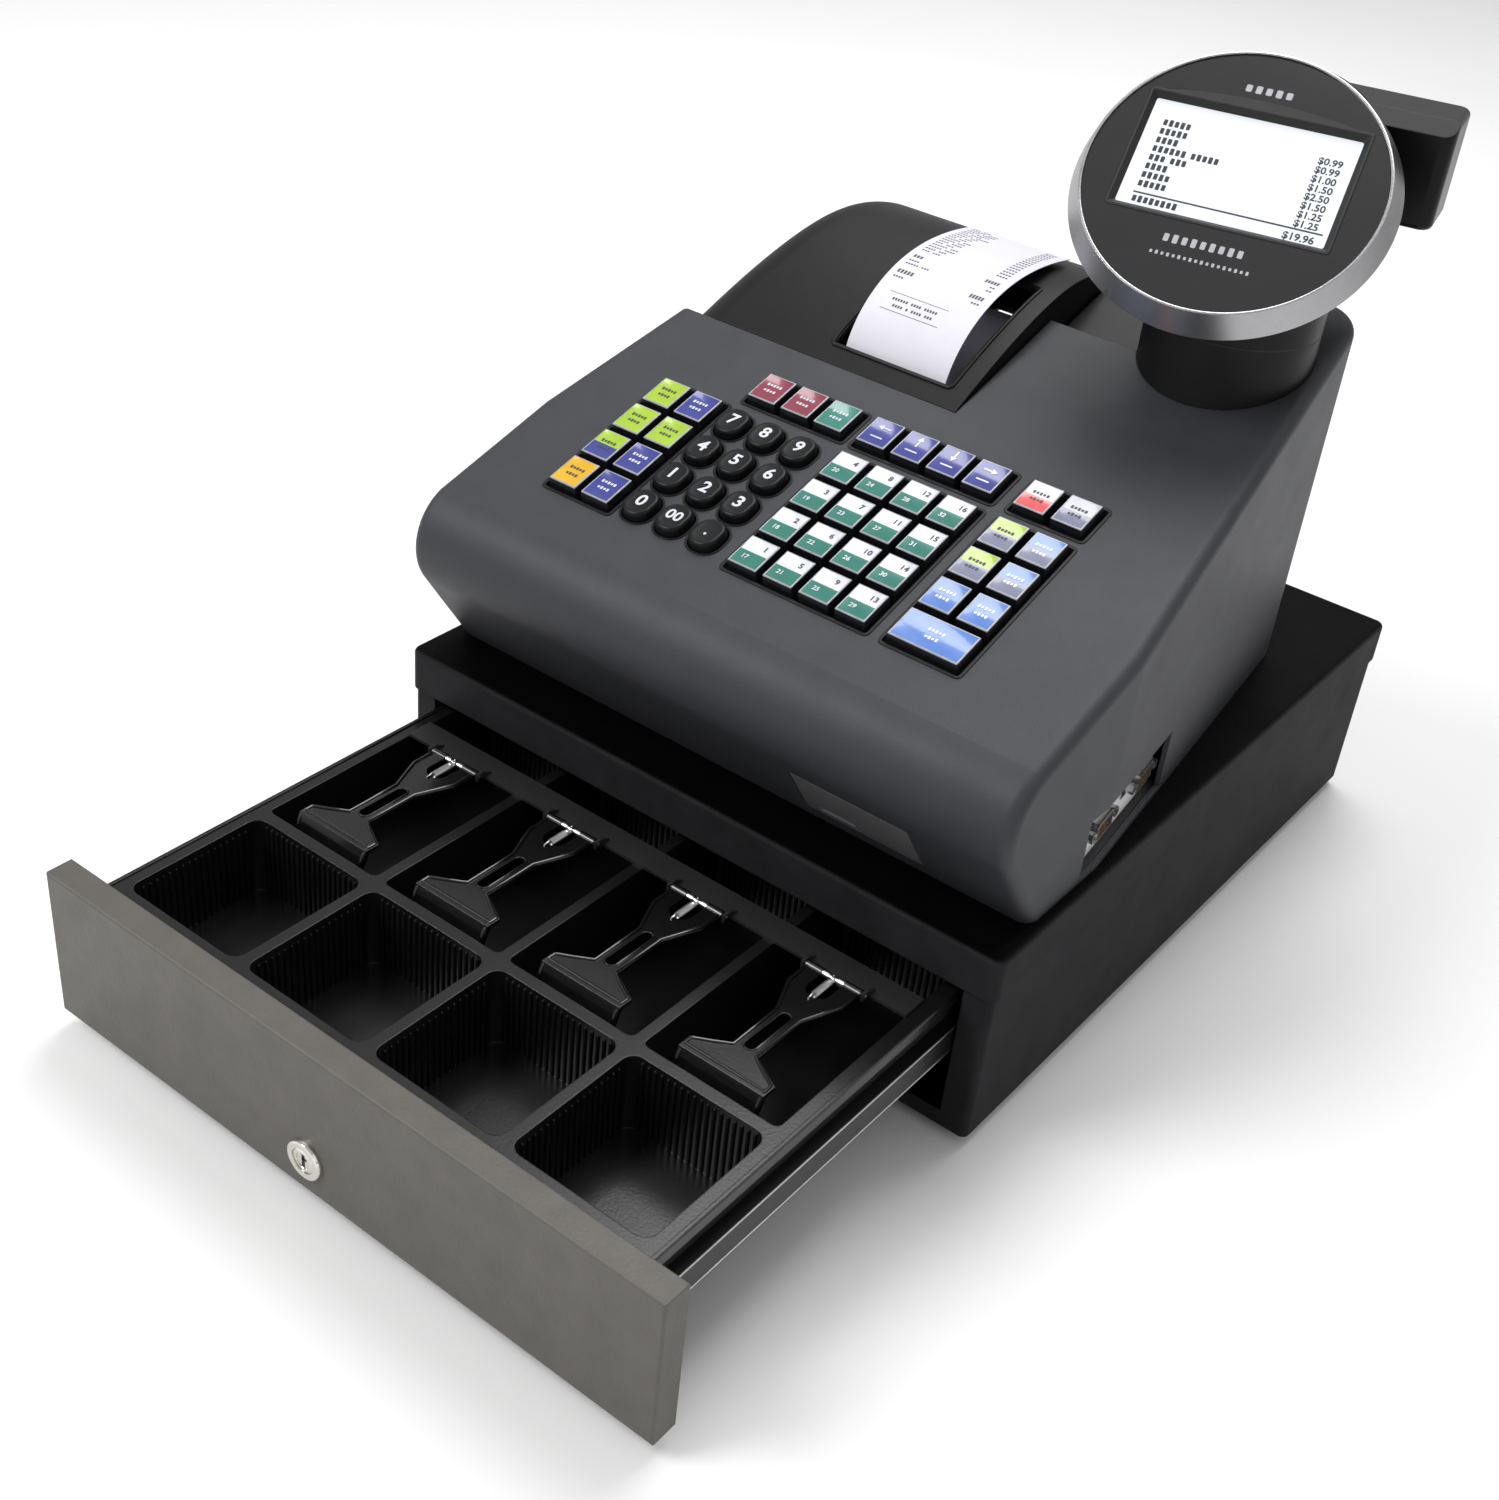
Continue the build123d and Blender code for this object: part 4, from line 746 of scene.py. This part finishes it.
# The keyway is a thin sheet of shadow black on the plug's face: painted shade in place of the slot's depth.
keyway = Shape()
keyway.block(rounded(1.5, 6.4, 0.6, 0, 0, 3), 1.5, 1.66)
keyway.block(rounded(2.6, 1.4, 0.5, 0.7, 1.0, 3), 1.5, 1.66)
keyway.build("keyway", FRONT, M["dark"], "lock", "lock_chrome")

# Shadow line under the lid's skirt, on the cabinet's sides and back.
SEAM_THICK, SEAM_TALL, SEAM_SHORT = 0.4, 0.9, 9
seam_bars = [(SEAM_THICK, BODY_DEEP - SEAM_SHORT, side * (BODY_WIDE + SEAM_THICK) / 2, 0) for side in (-1, 1)]
seam_bars.append((BODY_WIDE - SEAM_SHORT, SEAM_THICK, 0, (BODY_DEEP + SEAM_THICK) / 2))
seam = Shape()
for w, d, x, y in seam_bars:
    seam.block(rounded(w, d, 0.1, x, y, 1), LID_EDGE - SEAM_TALL, LID_EDGE)
seam.build("lid seam", ROW, M["dark"], "cabinet", "inner_plastic")


def rib(shape, x, y, dx, dy, high):
    """An upright rib on the till's floor that stands dx, dy proud of a wall."""
    px, py = -dy, dx
    outline = [(x - px * 0.9, y - py * 0.9), (x - px * 0.55 + dx * 0.75, y - py * 0.55 + dy * 0.75),
               (x + dx, y + dy), (x + px * 0.55 + dx * 0.75, y + py * 0.55 + dy * 0.75),
               (x + px * 0.9, y + py * 0.9)]
    shape.loft([[(a, b, TILL_FLOOR) for a, b in outline], [(a, b, high - 0.8) for a, b in outline],
                [(x + (a - x) * 0.6, y + (b - y) * 0.6, high) for a, b in outline]])


CELL_HALF, CUP_BACK, BAY_BACK = 33.5, -312.0, -164.0
ribs = Shape()
for cx in CELLS_X:
    for k in range(18):
        rx = cx - 28.0 + 3.29 * k
        rib(ribs, rx, CUP_BACK, 0, -1.0, 76.0)
        rib(ribs, rx, BAY_BACK, 0, -1.0, 76.0)
    for k in range(17):
        ry = -374.5 + 3.41 * k
        rib(ribs, cx - CELL_HALF, ry, 1.0, 0, 75.0)
        rib(ribs, cx + CELL_HALF, ry, -1.0, 0, 75.0)
ribs.build("till wall ribs", ROW, M["till"], "drawer", "till_plastic")

SCOOP_R, SCOOP_HALF = 24, 32.3
scoops = Shape()
for cx in CELLS_X:
    profile = [(CUPS_FRONT, TILL_FLOOR - 0.05)]
    profile += [(CUPS_FRONT + SCOOP_R * (1 - cos(a)), TILL_FLOOR + SCOOP_R * (1 - sin(a)))
                for a in [pi / 2 * k / 10 for k in range(11)]]
    scoops.loft([[(cx + dx, y, z) for y, z in profile] for dx in (-SCOOP_HALF, SCOOP_HALF)])
scoops.build("coin cup scoops", ROW, M["till"], "drawer", "till_plastic")

rim = Shape()
frame_band(rim, rounded(295.6, 228.6, 3.0, 0, -278.0, 4), 1.7, TILL_TOP - 0.2, TILL_TOP + 0.6)
rim.build("till rim bead", ROW, M["till"], "drawer", "till_plastic")


def clip_arm():
    """The raised edges of a clip's two arms, pad and slot, about its pivot."""
    arm = Shape()
    for side in (-1, 1):
        edge = [(12.6, -2.6), (12.6, -13.6), (9.2, -22.5), (5.6, -31.6), (5.6, -45), (5.6, -60.2),
                (12.5, -64.6), (19.6, -68.6)]
        arm.tube([(side * x, y, 1.0) for x, y in edge], 0.75, 8)
        pad = [(-69.0, 1.0), (-73.0, 1.1), (-76.0, -1.0), (-78.8, -6.2)]
        arm.tube([(side * 19.8, y, z) for y, z in pad], 0.7, 8)
    turns = [2 * pi * k / 24 for k in range(24)]
    slot = [(2.9 * cos(a), -45 + (11 if sin(a) > 0 else -11) + 2.9 * sin(a), 1.0) for a in turns]
    arm.tube(slot, 0.5, 6, closed=True)
    arm.tube([(-20.4, -72.6, 1.0), (0, -72.6, 1.0), (20.4, -72.6, 1.0)], 0.6, 8)
    return arm


def clip_spring():
    """A coil that runs forward from the pivot, with a straight wire at either end."""
    turns, steps, coil_r, coil_pitch = 13, 10, 1.5, 0.95
    spring = [(0, 1.2, 1.2), (0, -0.4, 2.0), (0, -1.6, 1.7)]
    for k in range(turns * steps + 1):
        a = 2 * pi * k / steps
        spring.append((coil_r * sin(a), -2.2 - coil_pitch * k / steps, 0.2 + coil_r * cos(a)))
    spring += [(0, -15.4, 1.7), (0, -16.6, 1.4), (0, -18.2, 1.3)]
    coil = Shape()
    coil.tube(spring, 0.38, 6)
    return coil


for number, cx in enumerate(CELLS_X, start=1):
    body, pivot = f"clip_{number}", (cx, CLIP_Y, CLIP_Z)
    upright = plane(pivot, (1, 0, 0), UP)
    clip_arm().build(f"clip ribs {number}", upright, M["clip"], body, "clip_plastic")
    clip_spring().build(f"clip spring {number}", upright, M["steel"], body, "zinc_steel")
    sleeve = Shape()
    for side in (-1, 1):
        near, far = side * 2.2, side * 5.6
        sleeve.lathe([(1.12, far), (1.75, far), (1.75, near), (1.12, near)], 20)
    turned = plane(pivot, (0, 1, 0), (1, 0, 0))
    sleeve.build(f"clip sleeves {number}", turned, M["steel"], body, "zinc_steel")

# Runner channels: a rolled lip above and below, with a ball strip between.
RUNNER_X, LIP_HEIGHTS, BALL_Z, BALL_COUNT, BALL_PITCH = 151.4, (48.1, 60.9), 54.5, 28, 7.0
lips = Shape()
for side in (-1, 1):
    for z in LIP_HEIGHTS:
        lips.tube([(y, z, side * RUNNER_X) for y in (-400.5, -220.0, -47.5)], 0.55, 8)
    ball = [(0.1, 151.6), (1.1, 151.5), (1.1, 151.1), (0.1, 151.1)]
    for k in range(BALL_COUNT):
        lips.lathe([(r, side * x) for r, x in ball], 12, centre=(-396.0 + BALL_PITCH * k, BALL_Z))
lips.build("runner lips", SIDEWAYS, M["rail"], "drawer", "zinc_steel")

# --- stage, light, camera -----------------------------------------------------------------
# The floor curves up into a backdrop well behind the register.
FLOOR_HALF, BEND_START, BEND_R, BACKDROP_TOP = 6.0, 3.2, 1.6, 6.0
bend = [pi / 2 * k / 12 for k in range(1, 13)]
sweep = [(-FLOOR_HALF, 0.0), (BEND_START, 0.0)]
sweep += [(BEND_START + BEND_R * sin(a), BEND_R * (1 - cos(a))) for a in bend]
sweep.append((BEND_START + BEND_R, BACKDROP_TOP))
count = len(sweep)
floor_mesh = bpy.data.meshes.new("floor")
floor_mesh.from_pydata([(x, y, z) for x in (-FLOOR_HALF, FLOOR_HALF) for y, z in sweep], [],
                       [(k, k + 1, count + k + 1, count + k) for k in range(count - 1)])
floor_mesh.polygons.foreach_set("use_smooth", [True] * (count - 1))
floor = bpy.data.objects.new("floor", floor_mesh)
bpy.context.scene.collection.objects.link(floor)
floor_mesh.materials.append(material("pale floor", (0.86, 0.86, 0.86), 0.7, vary=0.01, patch=4, spec=0.2))

world = bpy.data.worlds.new("studio")
bpy.context.scene.world = world
world.use_nodes = True
sky = world.node_tree.nodes["Background"]
sky.inputs["Color"].default_value = (1, 1, 1, 1)
sky.inputs["Strength"].default_value = 0.5


def area_light(name, place, target, size, power):
    """A round lamp size metres across and power watts, aimed at a point."""
    data = bpy.data.lights.new(name, "AREA")
    data.shape, data.size, data.energy = "DISK", size, power
    lamp = bpy.data.objects.new(name, data)
    lamp.location = place
    lamp.rotation_euler = (Vector(target) - Vector(place)).to_track_quat("-Z", "Y").to_euler()
    bpy.context.scene.collection.objects.link(lamp)


area_light("key", (-1.1, -1.5, 1.9), (0, 0, 0.15), 1.3, 42)
area_light("fill", (1.9, -0.6, 1.2), (0, 0, 0.15), 1.6, 3)
area_light("top", (-0.2, 0.9, 2.2), (0, 0.1, 0.15), 1.6, 36)

# Focal length in pixels of the 1499-pixel frame, and the camera's place, aim and roll.
FRAME_PX, FOCAL_PX, SENSOR = 1499.0, 2000.05, 36.0
CAMERA_PLACE, CAMERA_AIM, CAMERA_ROLL = (428.69, -770.20, 616.39), (-20.89, -114.29, 78.57), -6.267
camera_data = bpy.data.cameras.new("camera")
camera_data.sensor_fit, camera_data.sensor_width = "HORIZONTAL", SENSOR
camera_data.lens = FOCAL_PX / FRAME_PX * SENSOR
camera_data.clip_start, camera_data.clip_end = 0.02, 40.0
camera = bpy.data.objects.new("camera", camera_data)
place, aim, roll = ROW @ Vector(CAMERA_PLACE), ROW @ Vector(CAMERA_AIM), radians(CAMERA_ROLL)
forward = (aim - place).normalized()
level = forward.cross(UP).normalized()
up = level.cross(forward) * cos(roll) + level * sin(roll)
camera.matrix_world = Matrix((forward.cross(up), up, -forward)).transposed().to_4x4()
camera.matrix_world.translation = place
bpy.context.scene.collection.objects.link(camera)
bpy.context.scene.camera = camera
bpy.context.scene.view_settings.view_transform = "Standard"
